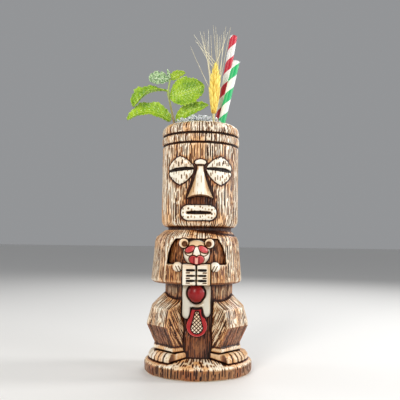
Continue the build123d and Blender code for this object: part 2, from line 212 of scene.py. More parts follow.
def remeshed(nodes, name, voxel_mm, rounds):
    """A fine even skin over some CAD nodes, with its edges rounded off."""
    joined = joined_mesh(nodes)
    source = add_object(name + "_source", joined)
    modifier = source.modifiers.new("skin", "REMESH")
    modifier.mode = "VOXEL"
    modifier.voxel_size = voxel_mm * MM
    mesh = bpy.data.meshes.new_from_object(source.evaluated_get(bpy.context.evaluated_depsgraph_get()))
    mesh.name = name
    mesh.shade_smooth()
    obj = add_object(name, mesh)
    bpy.data.objects.remove(source)
    bpy.data.meshes.remove(joined)
    write_points(obj, relax(read_points(obj), neighbour_average(obj), rounds))
    return obj


def half_outline(node):
    """(radius, height) points in mm of a turned node's outline, from foot to top and back to the axis."""
    bm = bmesh.new()
    bm.from_mesh(frame["nodes"][node].data)
    bmesh.ops.remove_doubles(bm, verts=bm.verts, dist=1e-6)
    for normal, both in (((1, 0, 0), False), ((0, 1, 0), True)):
        geometry = bm.verts[:] + bm.edges[:] + bm.faces[:]
        bmesh.ops.bisect_plane(
            bm, geom=geometry, dist=1e-7, plane_co=(0, 0, 0), plane_no=normal,
            clear_inner=True, clear_outer=both,
        )
    bmesh.ops.remove_doubles(bm, verts=bm.verts, dist=1e-6)
    current = min((v for v in bm.verts if v.co.x < 1e-5), key=lambda v: v.co.z)
    chain, used = [current], set()
    while True:
        steps = [e for e in current.link_edges if e not in used]
        if not steps:
            break
        edge = max(steps, key=lambda e: e.calc_length())
        used.add(edge)
        current = edge.other_vert(current)
        chain.append(current)
    points = np.array([(v.co.x, v.co.z) for v in chain]) / MM
    bm.free()
    return points


def resample(points, spacing):
    """Steps along a chain of points. Spacing is a length in mm, or a function that gives one by point."""

    def at(stations, walked, places):
        return np.stack([np.interp(stations, walked, column) for column in places.T], axis=1)

    legs = np.linalg.norm(np.diff(points, axis=0), axis=1)
    walked = np.concatenate([[0], np.cumsum(legs)])
    fine = np.linspace(0, walked[-1], int(walked[-1] / 0.2) + 2)
    places = at(fine, walked, points)
    step = spacing(places) if callable(spacing) else np.full(len(fine), spacing)
    count = np.concatenate([[0], np.cumsum(np.diff(fine) / step[1:])])
    stations = np.interp(np.linspace(0, count[-1], max(int(count[-1]), 2) + 1), count, fine)
    return at(stations, fine, places)


def soften(points, rounds):
    """Rounds the corners of a chain of points and keeps its ends."""
    for _ in range(rounds):
        middle = (points[:-2] + 2 * points[1:-1] + points[2:]) / 4
        points = np.concatenate([points[:1], middle, points[-1:]])
    return points


def band(low, high, columns):
    """Quads between two closed rings of vertices, whose first vertices are low and high."""
    steps = [(column, (column + 1) % columns) for column in range(columns)]
    return [(low + here, low + after, high + after, high + here) for here, after in steps]


def turned_skin(name, outline, columns):
    """Even mesh of a turned shape from its (radius, height) outline, which starts and ends on the axis."""
    rings = outline[(outline[:, 0] > 0.4)]
    angle = np.arange(columns) / columns * 2 * math.pi
    points = [(0.0, 0.0, outline[0, 1])]
    for radius, height in rings:
        ring = np.stack([radius * np.sin(angle), -radius * np.cos(angle), np.full(columns, height)], axis=1)
        points.extend(ring.tolist())
    points.append((0.0, 0.0, outline[-1, 1]))
    faces = []
    last = len(points) - 1
    for row in range(len(rings) - 1):
        faces.extend(band(1 + row * columns, 1 + (row + 1) * columns, columns))
    top = 1 + (len(rings) - 1) * columns
    for here in range(columns):
        after = (here + 1) % columns
        faces.append((0, 1 + after, 1 + here))
        faces.append((last, top + here, top + after))
    return make_object(name, points, faces)


# ---- how close a point is to its neighbours --------------------------------------------


def ceramic_nodes():
    """Every node of the mug's own body, without the ice."""
    return [n for n in frame["record"]["behaviour"]["bodies"]["mug"] if n != "crushed_ice"]


def tree_of(nodes):
    """Search tree over the surfaces of some CAD nodes, in metres."""
    points, faces = [], []
    for node in nodes:
        mesh = frame["nodes"][node].data
        start = len(points)
        points.extend(v.co.copy() for v in mesh.vertices)
        faces.extend([start + i for i in p.vertices] for p in mesh.polygons)
    return BVHTree.FromPolygons(points, faces)


def closeness(points_mm, nodes, reach):
    """1 at points that touch any of the nodes, falling to 0 at reach."""
    tree = tree_of(nodes)
    distance = np.full(len(points_mm), reach)
    for index, point in enumerate(points_mm):
        found = tree.find_nearest(Vector(point) * MM, reach * MM)
        if found[0] is not None:
            distance[index] = found[3] / MM
    return 1 - distance / reach


# ---- materials -------------------------------------------------------------------------


def new_material(name):
    """A node material, its tree and its shader."""
    material = bpy.data.materials.new(name)
    material.use_nodes = True
    tree = material.node_tree
    return material, tree, tree.nodes["Principled BSDF"]


def node(tree, kind, **settings):
    """A new node of one kind, with its settings."""
    made = tree.nodes.new(kind)
    for key, value in settings.items():
        setattr(made, key, value)
    return made


def feed(tree, inputs, values):
    """Fills a node's inputs by name or number, with numbers, colours, vectors or other nodes' outputs."""
    for name, value in values.items():
        socket = inputs[name]
        if isinstance(value, bpy.types.NodeSocket):
            tree.links.new(value, socket)
        elif isinstance(value, tuple) and len(value) < len(socket.default_value):
            socket.default_value = (*value, 1)
        else:
            socket.default_value = value


def attribute(tree, name):
    return node(tree, "ShaderNodeAttribute", attribute_name=name).outputs["Fac"]


def maths(tree, operation, *values, clamp=False):
    """One sum over numbers or sockets."""
    made = node(tree, "ShaderNodeMath", operation=operation, use_clamp=clamp)
    feed(tree, made.inputs, dict(enumerate(values)))
    return made.outputs[0]


def swing(tree, value, amount):
    """The value less a half, times an amount: a change that is as often down as up."""
    return maths(tree, "MULTIPLY", maths(tree, "SUBTRACT", value, 0.5), amount)


def noise_value(tree, scale, detail=4.0, rough=0.6, stretch=(1, 1, 1)):
    """Noise over the object's own coordinates; scale is in blobs per metre."""
    where = node(tree, "ShaderNodeTexCoord").outputs["Object"]
    mapping = node(tree, "ShaderNodeMapping")
    feed(tree, mapping.inputs, {"Vector": where, "Scale": stretch})
    made = node(tree, "ShaderNodeTexNoise")
    settings = {"Vector": mapping.outputs[0], "Scale": scale, "Detail": detail, "Roughness": rough}
    feed(tree, made.inputs, settings)
    return made.outputs["Fac"]


def ramp(tree, factor, stops):
    """Colours by (position, colour) stops."""
    made = node(tree, "ShaderNodeValToRGB")
    elements = made.color_ramp.elements
    while len(elements) < len(stops):
        elements.new(0.5)
    for element, (position, colour) in zip(elements, stops):
        element.position = position
        element.color = (*colour, 1)
    tree.links.new(factor, made.inputs[0])
    return made.outputs[0]


def mix_colour(tree, factor, a, b, blend="MIX"):
    made = node(tree, "ShaderNodeMix", data_type="RGBA", blend_type=blend)
    feed(tree, made.inputs, {0: factor, 6: a, 7: b})
    return made.outputs[2]


def bump(tree, height, strength, distance):
    """The surface direction over small changes in height."""
    made = node(tree, "ShaderNodeBump")
    feed(tree, made.inputs, {"Height": height, "Strength": strength, "Distance": distance})
    return made.outputs[0]


def glaze(name, stops, warm, speckle=0.16, roughness=0.26, coat=0.4, streaks=0.0):
    """Antique glaze: pale where rubbed back, dark where pooled in a cut, with painted shade and highlights in it.
    """
    material, tree, shader = new_material(name)
    glaze_and_shade = attribute(tree, "glaze_and_shade")
    fine = noise_value(tree, 900.0)
    broad = noise_value(tree, 95.0, stretch=(1, 1, 0.45))
    wanted = maths(tree, "ADD", glaze_and_shade, swing(tree, fine, speckle))
    wanted = maths(tree, "ADD", wanted, swing(tree, broad, speckle))
    if streaks:
        hairs = noise_value(tree, 1250.0, 2.0, 0.5, (1, 1, 0.07))
        thin = ramp(tree, hairs, ((0.58, (0, 0, 0)), (0.66, (1, 1, 1))))
        wanted = maths(tree, "ADD", wanted, maths(tree, "MULTIPLY", thin, streaks))
    wanted = maths(tree, "ADD", wanted, 0.0, clamp=True)
    patches = maths(tree, "MULTIPLY", attribute(tree, "tone"), 0.9, clamp=True)
    feed(tree, shader.inputs, {
        "Base Color": mix_colour(tree, patches, ramp(tree, wanted, stops), warm, "MULTIPLY"),
        "Roughness": maths(tree, "ADD", maths(tree, "MULTIPLY", glaze_and_shade, 0.35), roughness),
        "Specular IOR Level": ramp(tree, glaze_and_shade, ((0.3, (0.45, 0.45, 0.45)), (0.8, (0.10, 0.10, 0.10)))),
        "Coat Weight": coat,
        "Coat Roughness": 0.12,
        "Normal": bump(tree, noise_value(tree, 1500.0, 3.0), 0.18, 0.0002),
    })
    return material


carved_stops = (
    (0.00, (0.93, 0.86, 0.72)),
    (0.16, (0.78, 0.61, 0.38)),
    (0.34, (0.40, 0.175, 0.056)),
    (0.58, (0.085, 0.025, 0.009)),
    (1.00, (0.012, 0.005, 0.003)),
)
cream_stops = (
    (0.00, (0.93, 0.87, 0.74)),
    (0.30, (0.72, 0.57, 0.36)),
    (0.60, (0.28, 0.12, 0.045)),
    (1.00, (0.015, 0.006, 0.004)),
)
red_stops = (
    (0.00, (0.80, 0.24, 0.20)),
    (0.12, (0.46, 0.006, 0.009)),
    (0.45, (0.30, 0.004, 0.006)),
    (0.75, (0.09, 0.004, 0.004)),
    (1.00, (0.012, 0.003, 0.003)),
)
pink_stops = (
    (0.00, (0.90, 0.50, 0.38)),
    (0.20, (0.66, 0.075, 0.075)),
    (0.50, (0.42, 0.015, 0.02)),
    (0.80, (0.12, 0.008, 0.008)),
    (1.00, (0.015, 0.004, 0.003)),
)
grey_stops = (
    (0.00, (0.66, 0.62, 0.52)),
    (0.35, (0.44, 0.38, 0.28)),
    (0.70, (0.12, 0.06, 0.03)),
    (1.00, (0.015, 0.006, 0.004)),
)
warm_brown = (0.92, 0.60, 0.33)
materials = {
    "carved": glaze("carved_glaze", carved_stops, warm_brown, streaks=0.30),
    "cream": glaze("cream_glaze", cream_stops, (0.90, 0.66, 0.44), speckle=0.14),
    "red": glaze("red_glaze", red_stops, (0.85, 0.5, 0.5), speckle=0.08, roughness=0.18, coat=0.15),
    "pink": glaze("pink_glaze", pink_stops, (0.9, 0.5, 0.45), roughness=0.20, coat=0.25),
    "grey": glaze("grey_glaze", grey_stops, (0.85, 0.70, 0.55)),
}


# ---- finishing a ceramic piece ---------------------------------------------------------


def dress(obj, material):
    """Gives obj its one material."""
    obj.data.materials.clear()
    obj.data.materials.append(material)


def settle(obj, nodes, material):
    """Gives obj its material and makes it stand for some CAD nodes of one body and one finish."""
    dress(obj, material)
    bodies = frame["record"]["behaviour"]["bodies"]
    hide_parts(*nodes)
    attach(obj, next(name for name, members in bodies.items() if nodes[0] in members))


def box_mm(node):
    """Low and high corners of a node's box."""
    low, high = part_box(node)
    return np.array(low) / MM, np.array(high) / MM


def middle_of(node):
    low, high = box_mm(node)
    return (low + high) / 2


def foot_of(node):
    """Height of a node's lowest point."""
    return box_mm(node)[0][2]


def top_of(node):
    """Height of a node's highest point."""
    return box_mm(node)[1][2]


def between(value, low, high, edge):
    """1 inside low..high, falling to 0 over edge on both sides."""
    return smoothstep(low - edge, low, value) * (1 - smoothstep(high, high + edge, value))


def round_coordinates(points):
    """Angle about the axis in radians, measured from the front; radius; height."""
    radius = np.hypot(points[:, 0], points[:, 1])
    angle = np.arctan2(points[:, 0], -points[:, 1])
    return angle, radius, points[:, 2]


def others_than(nodes):
    """The ceramic nodes that a piece can touch."""
    return [n for n in ceramic_nodes() if n not in nodes]


def carve(obj, cuts, depth_mm):
    """Sinks the cuts (0..1 per vertex) into the surface."""
    points = read_points(obj)
    normals = read_normals(obj)
    wobble = (noise(points, 7.0, 3) - 0.5) * 0.35 + (noise(points, 2.2, 4) - 0.5) * 0.12
    write_points(obj, points + normals * (wobble - cuts * depth_mm)[:, None])


def pillow(obj, backing, reach, least=0.4):
    """Rounds a relief piece into a cushion: low at its outline, full height from reach mm inwards."""
    points = read_points(obj)
    normals = read_normals(obj)
    tree = tree_of(backing)
    feet = np.array([tree.find_nearest(Vector(p) * MM)[0][:] for p in points]) / MM
    offset = points - feet
    lift = np.linalg.norm(offset, axis=1)
    facing = np.abs((normals * offset).sum(1)) / np.maximum(lift, 1e-6)
    rim = np.flatnonzero((facing < 0.55) & (lift > 0.3))
    finder = KDTree(len(rim))
    for order, index in enumerate(rim):
        finder.insert(points[index], order)
    finder.balance()
    inward = np.array([finder.find(p)[2] for p in points])
    arch = np.sqrt(1 - (1 - np.clip(inward / reach, 0, 1)) ** 2)
    write_points(obj, feet + offset * (least + (1 - least) * arch)[:, None])


def form_tone(obj, form, average, rounds=30):
    """-1 on the outer edges of the uncut form and 1 in its inner corners."""
    bent = ((relax(form, average, rounds) - form) * read_normals(obj)).sum(1)
    return np.clip(relax(bent[:, None], average, 3)[:, 0] / 0.35, -1, 1)


def glaze_and_shade(obj, cuts, others, reach=1.5, rounds=6, crevice=1.0, cut_weight=1.0, base=0.0, halo=0.0, warm=0.0,
          form=None, edge=0.0):
    """Works out where the dark glaze pools: in cuts, in hollows and along every seam.

    Seams are dark (crevice) within reach of the other nodes, and browner within halo of them. Bulges are rubbed
    pale, which also serves as a painted highlight. With edge, the uncut form's corners count too: outer ones are
    rubbed pale, with a painted highlight, and inner ones hold glaze.
    """
    points = read_points(obj)
    normals = read_normals(obj)
    average = neighbour_average(obj)
    hollow = ((relax(points, average, rounds) - points) * normals).sum(1)
    # Glaze pools in hollows; bulges are rubbed pale, partly a painted highlight.
    hollow = 0.55 * smoothstep(0.02, 0.28, hollow) - 0.35 * smoothstep(0.02, 0.16, -hollow)
    blotch = noise(points * (1, 1, 0.5), 9.0, 22)
    value = base + cut_weight * cuts + hollow + 0.30 * (blotch - 0.45) * (base > 0)
    if edge:
        # Outer corners of the form are rubbed pale, partly a painted highlight; inner corners hold glaze.
        bend = form_tone(obj, form, average)
        value = value * (1 - 0.75 * np.clip(-bend, 0, 1)) + edge * np.clip(bend, 0, 1)
    warmth = warm + smoothstep(0.40, 0.75, noise(points * (1, 1, 0.4), 6.0, 21))
    if others and reach:
        near = closeness(points, others, max(reach, halo))
        if halo > reach:
            ring = smoothstep(0.1, 1.0, near)
            warmth = warmth + 0.9 * ring
            value = value + 0.16 * ring
            near = 1 - (1 - near) * halo / reach
        value = np.maximum(value, crevice * smoothstep(0.1, 0.75, near))
    set_attribute(obj, "glaze_and_shade", np.clip(value, 0, 1))
    set_attribute(obj, "tone", np.clip(warmth, 0, 1))


def lighten(obj, share):
    """Rubs the glaze back where share is 1."""
    set_attribute(obj, "glaze_and_shade", read_attribute(obj, "glaze_and_shade") * (1 - share))


def darken(obj, least, tone=0.0):
    """Raises the darkness to at least a given amount, a little uneven with the grain; used for painted shade too.
    """
    value = read_attribute(obj, "glaze_and_shade")
    set_attribute(obj, "glaze_and_shade", np.clip(np.maximum(value, least * (0.8 + 0.5 * value)), 0, 1))
    if tone:
        warmth = read_attribute(obj, "tone")
        set_attribute(obj, "tone", np.clip(warmth + tone * least, 0, 1))


def grain(across, along, seed, spacing=1.8, width=0.6):
    """Two sets of strokes: long bold ones, and short fine ones between them."""
    bold = grooves(across, along, spacing, width, seed, 0.22, (10.0, 34.0))
    fine = grooves(across, along, spacing * 0.7, width * 0.6, seed + 1, 0.15, (6.0, 16.0), 0.7)
    return np.maximum(bold, 0.65 * fine)


# ---- the cast body and the plinth ------------------------------------------------------


# The slits are painted black: painted shade in the gaps behind the lids and lips.
slit_darkness = 1.2          # over 1, so that a slit is black to its edges
turned_columns = 640         # steps round the cast body and the plinth


def slit_shade(points, upper, lower):
    """1 on the body behind the slit that parts an upper and a lower relief piece: where the slit's painted shade
    goes.
    """
    (low_x, _, low_z), (high_x, _, _) = box_mm(upper)
    middle = (low_z + top_of(lower)) / 2
    inside = between(points[:, 0], low_x + 1.0, high_x - 1.0, 1.0)
    return inside * between(points[:, 2], middle - 1.6, middle + 1.6, 0.8) * (points[:, 1] < 0)


def ring_grooves(outline):
    """Heights of the grooves turned into the head: the dips in the outline's radius."""
    radius = outline[:, 0]
    dips = (radius[1:-1] < radius[:-2] - 1.0) & (radius[1:-1] < radius[2:] - 1.0)
    return [height for height in outline[1:-1][dips, 1] if height > top_of("brow_bead")]


def shade_vessel(obj, angle, height, is_outside, rings):
    """Dark rings, browner waist; painted shade in neck, slits and recess, under torso and nose, between legs."""
    points = read_points(obj)
    in_front = points[:, 1] < 0
    torso_foot, torso_top = foot_of("left_arm"), top_of("left_arm")
    (nose_left, _, nose_foot), (nose_right, _, _) = box_mm("nose")
    for ring in rings:
        darken(obj, between(height, ring - 0.45, ring + 0.45, 0.75) * is_outside)
    # Brown glaze and painted shade in the recess behind the cub.
    recess = between(height, top_of("left_hand") - 2.5, torso_top - 6.0, 2.0) * is_outside * in_front
    darken(obj, 0.34 * recess, tone=2.0)
    waist = between(height, top_of("base_plinth") - 0.5, torso_foot, 2.0) * is_outside
    # The waist is browner all round.
    darken(obj, 0.30 * waist)
    # Painted shadow under the torso block.
    darken(obj, 0.60 * waist * smoothstep(torso_foot - 6.0, torso_foot, height))
    # Painted shade at the front, between the legs.
    darken(obj, 0.48 * waist * smoothstep(0.55, 0.38, np.abs(angle)), tone=1.2)
    # Painted shade in the neck, under the overhang of the head.
    neck = between(height, torso_top - 0.5, torso_top + 2.4, 1.0) * is_outside
    darken(obj, 0.62 * neck, tone=1.0)
    # Painted shadow under the nose, in warm brown.
    philtrum = between(points[:, 0], nose_left + 1.0, nose_right - 1.0, 5.0) * in_front
    philtrum = philtrum * between(height, top_of("upper_lip") + 1.0, nose_foot, 4.0)
    darken(obj, 0.54 * philtrum, tone=1.2)
    # Painted shade: black behind the slits of the eyelids and the lips.
    for pair in ("left_{}_eyelid", "right_{}_eyelid", "{}_lip"):
        darken(obj, slit_darkness * slit_shade(points, pair.format("upper"), pair.format("lower")))


def build_vessel():
    """The cast body: head drum with its rings, neck, torso, waist and the hollow inside."""
    outline = half_outline("vessel")
    crest = int(np.argmax(outline[:, 1]))
    rings = ring_grooves(outline[: crest + 1])
    head_radius = outline[: crest + 1, 0].max()

    def step(places):
        nearest = np.min([np.abs(places[:, 1] - ring) for ring in rings], axis=0)
        return np.where(nearest < 2.4, 0.4, 0.95)

    outside = resample(outline[: crest + 1], step)
    inside = resample(outline[crest:], 3.0)
    obj = turned_skin("mug_vessel", soften(np.concatenate([outside, inside[1:]]), 2), turned_columns)
    points = read_points(obj)
    angle, _, height = round_coordinates(points)
    rows = (np.arange(len(points)) - 1) // turned_columns
    is_outside = rows < len(outside) - 3
    low_ring, high_ring = min(rings), max(rings)
    bulge = np.zeros(len(points))
    crest_height = points[:, 2].max()
    for low, high in ((low_ring, high_ring), (high_ring, crest_height - 1.0)):
        t = np.clip((height - (low + high) / 2) / ((high - low) / 2), -1, 1)
        bulge = np.maximum(bulge, np.sqrt(1 - t ** 2))
    swell = 1 + bulge * is_outside * 0.55 / head_radius
    write_points(obj, points * np.stack([swell, swell, np.ones(len(points))], axis=1))
    across = angle * head_radius
    above = height > low_ring
    cuts = np.where(above, grain(across, height, 15, 1.8, 0.62), grain(across, height, 11))
    rim_top = top_of("vessel")
    rim = smoothstep(rim_top - 1.4, rim_top - 0.2, height)
    cuts = cuts * is_outside * (1 - 0.8 * rim)
    carve(obj, cuts, 0.55)
    glaze_and_shade(obj, cuts, others_than(["vessel"]), reach=1.6, crevice=0.86, base=0.03, halo=6.0)
    shade_vessel(obj, angle, height, is_outside, rings)
    settle(obj, ["vessel"], materials["carved"])


def build_plinth():
    """The round slab, with short cuts up its side and cuts that spread over its top."""
    outline = soften(resample(half_outline("base_plinth"), 0.8), 2)
    obj = turned_skin("mug_base_plinth", outline, turned_columns)
    points = read_points(obj)
    angle, radius, height = round_coordinates(points)
    edge = box_mm("base_plinth")[1][0]
    side = smoothstep(edge - 2.6, edge - 1.1, radius) * smoothstep(0.3, 1.0, height)
    top = smoothstep(9.0, 10.0, height) * (1 - side)
    cuts = side * grooves(angle * edge, height, 2.1, 0.75, 31, 0.3, (8.0, 16.0))
    cuts = np.maximum(cuts, top * grooves(angle * 36, radius, 2.0, 0.8, 32, 0.3, (9.0, 15.0)))
    carve(obj, cuts, 0.5)
    glaze_and_shade(obj, cuts, others_than(["base_plinth"]), reach=1.6, base=0.06, halo=4.0)
    darken(obj, 0.46 * side * smoothstep(9.0, 7.2, height))
    lighten(obj, 0.7 * smoothstep(edge - 4.5, edge - 2.0, radius) * smoothstep(8.6, 9.2, height))
    points = read_points(obj)
    points[:, 2] = np.maximum(points[:, 2], 0.0)
    write_points(obj, points)
    settle(obj, ["base_plinth"], materials["carved"])


build_vessel()
build_plinth()


# ---- relief pieces ---------------------------------------------------------------------


def relief(nodes, look, voxel=0.5, rounds=6, depth=0.4, cutter=None, cushion=None, warp=None,
           shade=None, **glaze_and_shade_options):
    """Skins one luted piece, rounds it, cuts its grain, then glazes it with any painted shade its shade function
    adds.
    """
    nodes = [nodes] if isinstance(nodes, str) else nodes
    name = nodes[0] if len(nodes) == 1 else nodes[0].split("_", 1)[1] + "s"
    obj = remeshed(nodes, "mug_" + name, voxel, rounds)
    if warp:
        write_points(obj, warp(read_points(obj)))
    if cushion:
        pillow(obj, *cushion)
    points = read_points(obj)
    normals = read_normals(obj)
    cuts = cutter(points, normals) if cutter else np.zeros(len(points))
    carve(obj, cuts, depth)
    glaze_and_shade(obj, cuts, others_than(nodes), form=points, **glaze_and_shade_options)
    if shade:
        shade(obj, points, normals)
    settle(obj, nodes, materials[look])


def arm_grain(points, normals):
    """Cuts that run down the torso block, all the way round."""
    angle, _, height = round_coordinates(points)
    return grain(angle * 37.0, height, 61)


def arm_shade(obj, points, normals):
    """The forearms hold more brown than the shoulders; the underside of the block gets painted shade."""
    hand_top = top_of("left_hand")
    between_shoulders = smoothstep(27.0, 22.0, np.abs(points[:, 0] + 2.0))
    forearm = smoothstep(hand_top, hand_top - 3.0, points[:, 2]) * between_shoulders
    darken(obj, 0.24 * forearm * (points[:, 1] < 0), tone=1.6)
    # Painted shade on the faces that look down.
    darken(obj, 0.5 * smoothstep(-0.3, -0.8, normals[:, 2]))


def inner_face(points, normals):
    """1 on the faces of the legs that look at each other."""
    return smoothstep(0.25, 0.45, -np.sign(points[:, 0]) * normals[:, 0]) * (points[:, 1] < 0)


def above_foot(height):
    """Height over the top of the feet, where the legs' cuffs start."""
    return height - top_of("left_foot")


def leg_grain(points, normals):
    """Cuts that fan down the thigh and knee, and slant down the inner faces."""
    angle, radius, height = round_coordinates(points)
    outer = grain(np.abs(angle) * 38.0, height, 71, 2.0, 0.6)
    inner = grain(radius - 0.5 * height, height, 73, 1.5, 0.5)
    cuts = np.where(inner_face(points, normals) > 0.5, inner, outer)
    return np.maximum(cuts, between(above_foot(height), 0.3, 0.7, 0.6))


def leg_shade(obj, points, normals):
    """Painted shade on the shins, which face down, and on the inner faces, warm brown low down; a pale cuff."""
    ankle = above_foot(points[:, 2])
    front = smoothstep(8.0, 2.0, points[:, 1])
    inner = inner_face(points, normals)
    # Painted shade on the shins, which face down.
    shin = smoothstep(-0.05, -0.14, normals[:, 2]) * between(ankle, 4.8, 20.4, 0.8) * (1 - inner)
    darken(obj, 0.46 * shin * front, tone=0.9)
    # Painted shade on the inner faces, where the legs face each other, warmer near the feet.
    darken(obj, 0.14 * inner * between(ankle, 7.4, 41.4, 3.0))
    darken(obj, 0.36 * inner * smoothstep(11.4, 1.4, ankle), tone=1.6)
    darken(obj, 0.8 * between(ankle, 4.3, 4.9, 0.6) * front)
    lighten(obj, 0.7 * between(ankle, 1.6, 3.2, 0.5) * front)


def rows_of(share, edges):
    """Depth that rounds a row of digits: 0 at each one's crown and 1 at the edges between them."""
    edges = np.array(edges)
    place = np.clip(np.searchsorted(edges, share) - 1, 0, len(edges) - 2)
    t = (share - edges[place]) / (edges[place + 1] - edges[place]) * 2 - 1
    return 1 - np.sqrt(np.clip(1 - t ** 2, 0, 1))


finger_gaps = (0.230, 0.463, 0.727)       # shares of the hand's height
knuckle_creases = (0.115, 0.345, 0.60)    # the same
toe_edges = (33.0, 42.0, 50.5, 58.5, 66.5)    # degrees from the front, round the plinth


def finger_cuts(node):
    """Four rounded fingers, with a short crease across each of the lower three."""
    low, high = box_mm(node)
    seam = high[0] if node.startswith("left") else low[0]

    def cutter(points, normals):
        reach = np.abs(points[:, 0] - seam)
        share = (points[:, 2] - low[2]) / (high[2] - low[2])
        front = smoothstep(low[1] + 3.5, low[1] + 1.5, points[:, 1])
        rounding = rows_of(share, (-0.02, *finger_gaps, 1.02)) * smoothstep(8.0, 6.6, reach)
        cuts = 0.55 * rounding
        for gap in finger_gaps:
            thin = 0.024 * smoothstep(0.0, 3.0, reach) + 0.006
            groove = smoothstep(thin + 0.03, thin, np.abs(share - gap)) * smoothstep(7.6, 6.4, reach)
            cuts = np.maximum(cuts, groove)
        for crease in knuckle_creases:
            mark = between(share, crease - 0.012, crease + 0.012, 0.03) * between(reach, 4.6, 7.0, 0.6)
            cuts = np.maximum(cuts, 0.8 * mark)
        return cuts * front

    return cutter


def hand_shade(obj, points, normals):
    """Brown round the outer side of the right hand."""
    outer = box_mm("right_hand")[1][0]
    darken(obj, 0.34 * smoothstep(outer - 3.2, outer - 1.0, points[:, 0]), tone=1.5)


def paw_cuts(node):
    """Two slanting grooves that part three claws."""
    middle = middle_of(node)
    lean = 0.5 if node.startswith("left") else -0.5

    def cutter(points, normals):
        across = points[:, 0] - middle[0] + lean * (points[:, 2] - middle[2])
        below = smoothstep(1.6, 0.4, points[:, 2] - middle[2])
        cuts = np.zeros(len(points))
        for groove in (-1.2, 1.2):
            cuts = np.maximum(cuts, notch(np.abs(across - groove), 0.55))
        return cuts * below

    return cutter


def foot_cuts(points, normals):
    """Four rounded toes that fan round the rim of the plinth."""
    angle, radius, _ = round_coordinates(points)
    around = np.degrees(np.abs(angle))
    front = smoothstep(34.0, 37.5, radius)
    cuts = 0.5 * rows_of(around, (*toe_edges, 120.0)) * (around < toe_edges[-1])
    for edge in toe_edges[1:]:
        cuts = np.maximum(cuts, between(around, edge - 0.7, edge + 0.7, 0.8))
    return cuts * front


def foot_shade(obj, points, normals):
    """Warm painted shade on the inner, downward side of each foot, and a little brown over the whole of the right
    one.
    """
    # Painted shade where the foot faces the other foot and down.
    inner = smoothstep(0.2, 0.6, np.sign(-points[:, 0]) * normals[:, 0] - 0.6 * normals[:, 2])
    darken(obj, 0.40 * inner, tone=1.8)
    darken(obj, 0.16 * smoothstep(0.0, 6.0, points[:, 0]), tone=2.0)


def slit_closer(left, right, low, high, share=0.8, reach=3.0):
    """Narrows a level slit, given by its ends and its two edges, towards its corners."""
    gap = (high - low) / 2
    level = (high + low) / 2

    def warp(points):
        along = np.clip((points[:, 0] - (left + right) / 2) / ((right - left) / 2), -1, 1)
        away = np.abs(points[:, 2] - level)
        pull = share * gap * along ** 2 * smoothstep(gap + reach, gap, away)
        moved = points.copy()
        moved[:, 2] -= np.sign(points[:, 2] - level) * np.minimum(pull, away * share)
        return moved

    return warp


def eye_slit(side):
    """Closes the slit between an eye's lids towards both corners."""
    (left, _, high), (right, _, _) = box_mm(side + "_upper_eyelid")
    return slit_closer(left, right, top_of(side + "_lower_eyelid"), high)


def mouth_slit():
    """Closes the slit between the lips towards both ends."""
    (left, _, level), (right, _, _) = box_mm("upper_lip")
    return slit_closer(left + 4.2, right - 4.2, level - 1.0, level + 1.0, 0.75, 1.6)


def slim_nose(points):
    """Draws the flanks of the nose in, so that it flares towards its foot."""
    low, high = box_mm("nose")
    middle = (low[0] + high[0]) / 2
    share = np.clip((points[:, 2] - low[2]) / (high[2] - low[2]), 0, 1)
    moved = points.copy()
    moved[:, 0] = middle + (points[:, 0] - middle) * (0.96 - 0.19 * np.sin(math.pi * share ** 0.9))
    return moved


def ticks(seed, spacing=3.0, width=0.75, share=0.9, strokes=(4.0, 7.0), duty=0.55):
    """A few short strokes, as on the eyelids and lips."""

    def cutter(points, normals):
        return share * grooves(points[:, 0], points[:, 2], spacing, width, seed, 0.15, strokes, duty)

    return cutter


def crosshatch(points, normals):
    """Two crossing sets of slanting lines."""
    spacing = 2.9
    lines = []
    for sign in (1, -1):
        phase = np.mod((points[:, 0] + sign * points[:, 2]) / spacing, 1.0)
        lines.append(notch(np.abs(phase - 0.5), 0.21, 1.7))
    return np.maximum(*lines)


def nose_shade(obj, points, normals):
    """Dark painted shade under the arch, and brown painted shade running up both flanks."""
    # Painted shade under the arch, which faces down.
    darken(obj, 0.75 * smoothstep(-0.35, -0.7, normals[:, 2]))
    # Painted shade up the flanks, which face sideways.
    flank = smoothstep(0.62, 0.92, np.abs(normals[:, 0]))
    darken(obj, 0.40 * flank, tone=1.5)


def lip_shade(obj, points, normals):
    """Painted shade, black, inside the slit."""
    low, high = box_mm("upper_lip")
    inward = smoothstep(0.35, 0.75, np.abs(normals[:, 2]))
    slit = between(points[:, 2], low[2] - 1.2, low[2] + 1.2, 0.5)
    slit = slit * between(points[:, 0], low[0] + 3.6, high[0] - 3.6, 0.5)
    # Painted shade in the slit between the lips.
    darken(obj, 0.95 * slit * inward)


def ear_shade(node):
    """A dark hollow, a little towards the head."""
    middle = middle_of(node)
    towards = np.sign(middle_of("cub_head")[0] - middle[0])

    def shade(obj, points, normals):
        away = np.hypot(points[:, 0] - middle[0] - 0.7 * towards, points[:, 2] - middle[2] + 0.5)
        darken(obj, 0.97 * smoothstep(2.6, 2.0, away))

    return shade


def face_lines(points, normals):
    """The dark lines that close the pale crescents under the cub's eyes."""
    cuts = np.zeros(len(points))
    for side in SIDES:
        middle = middle_of(side + "_cub_eye")
        x = (points[:, 0] - middle[0]) / 4.6
        z = (points[:, 2] - middle[2] + 0.8) / 4.4
        ring = np.abs(np.hypot(x, z) - 1)
        on_face = (z < -0.15) * (points[:, 1] < middle[1] + 6)
        cuts = np.maximum(cuts, notch(ring, 0.13) * on_face)
    return cuts


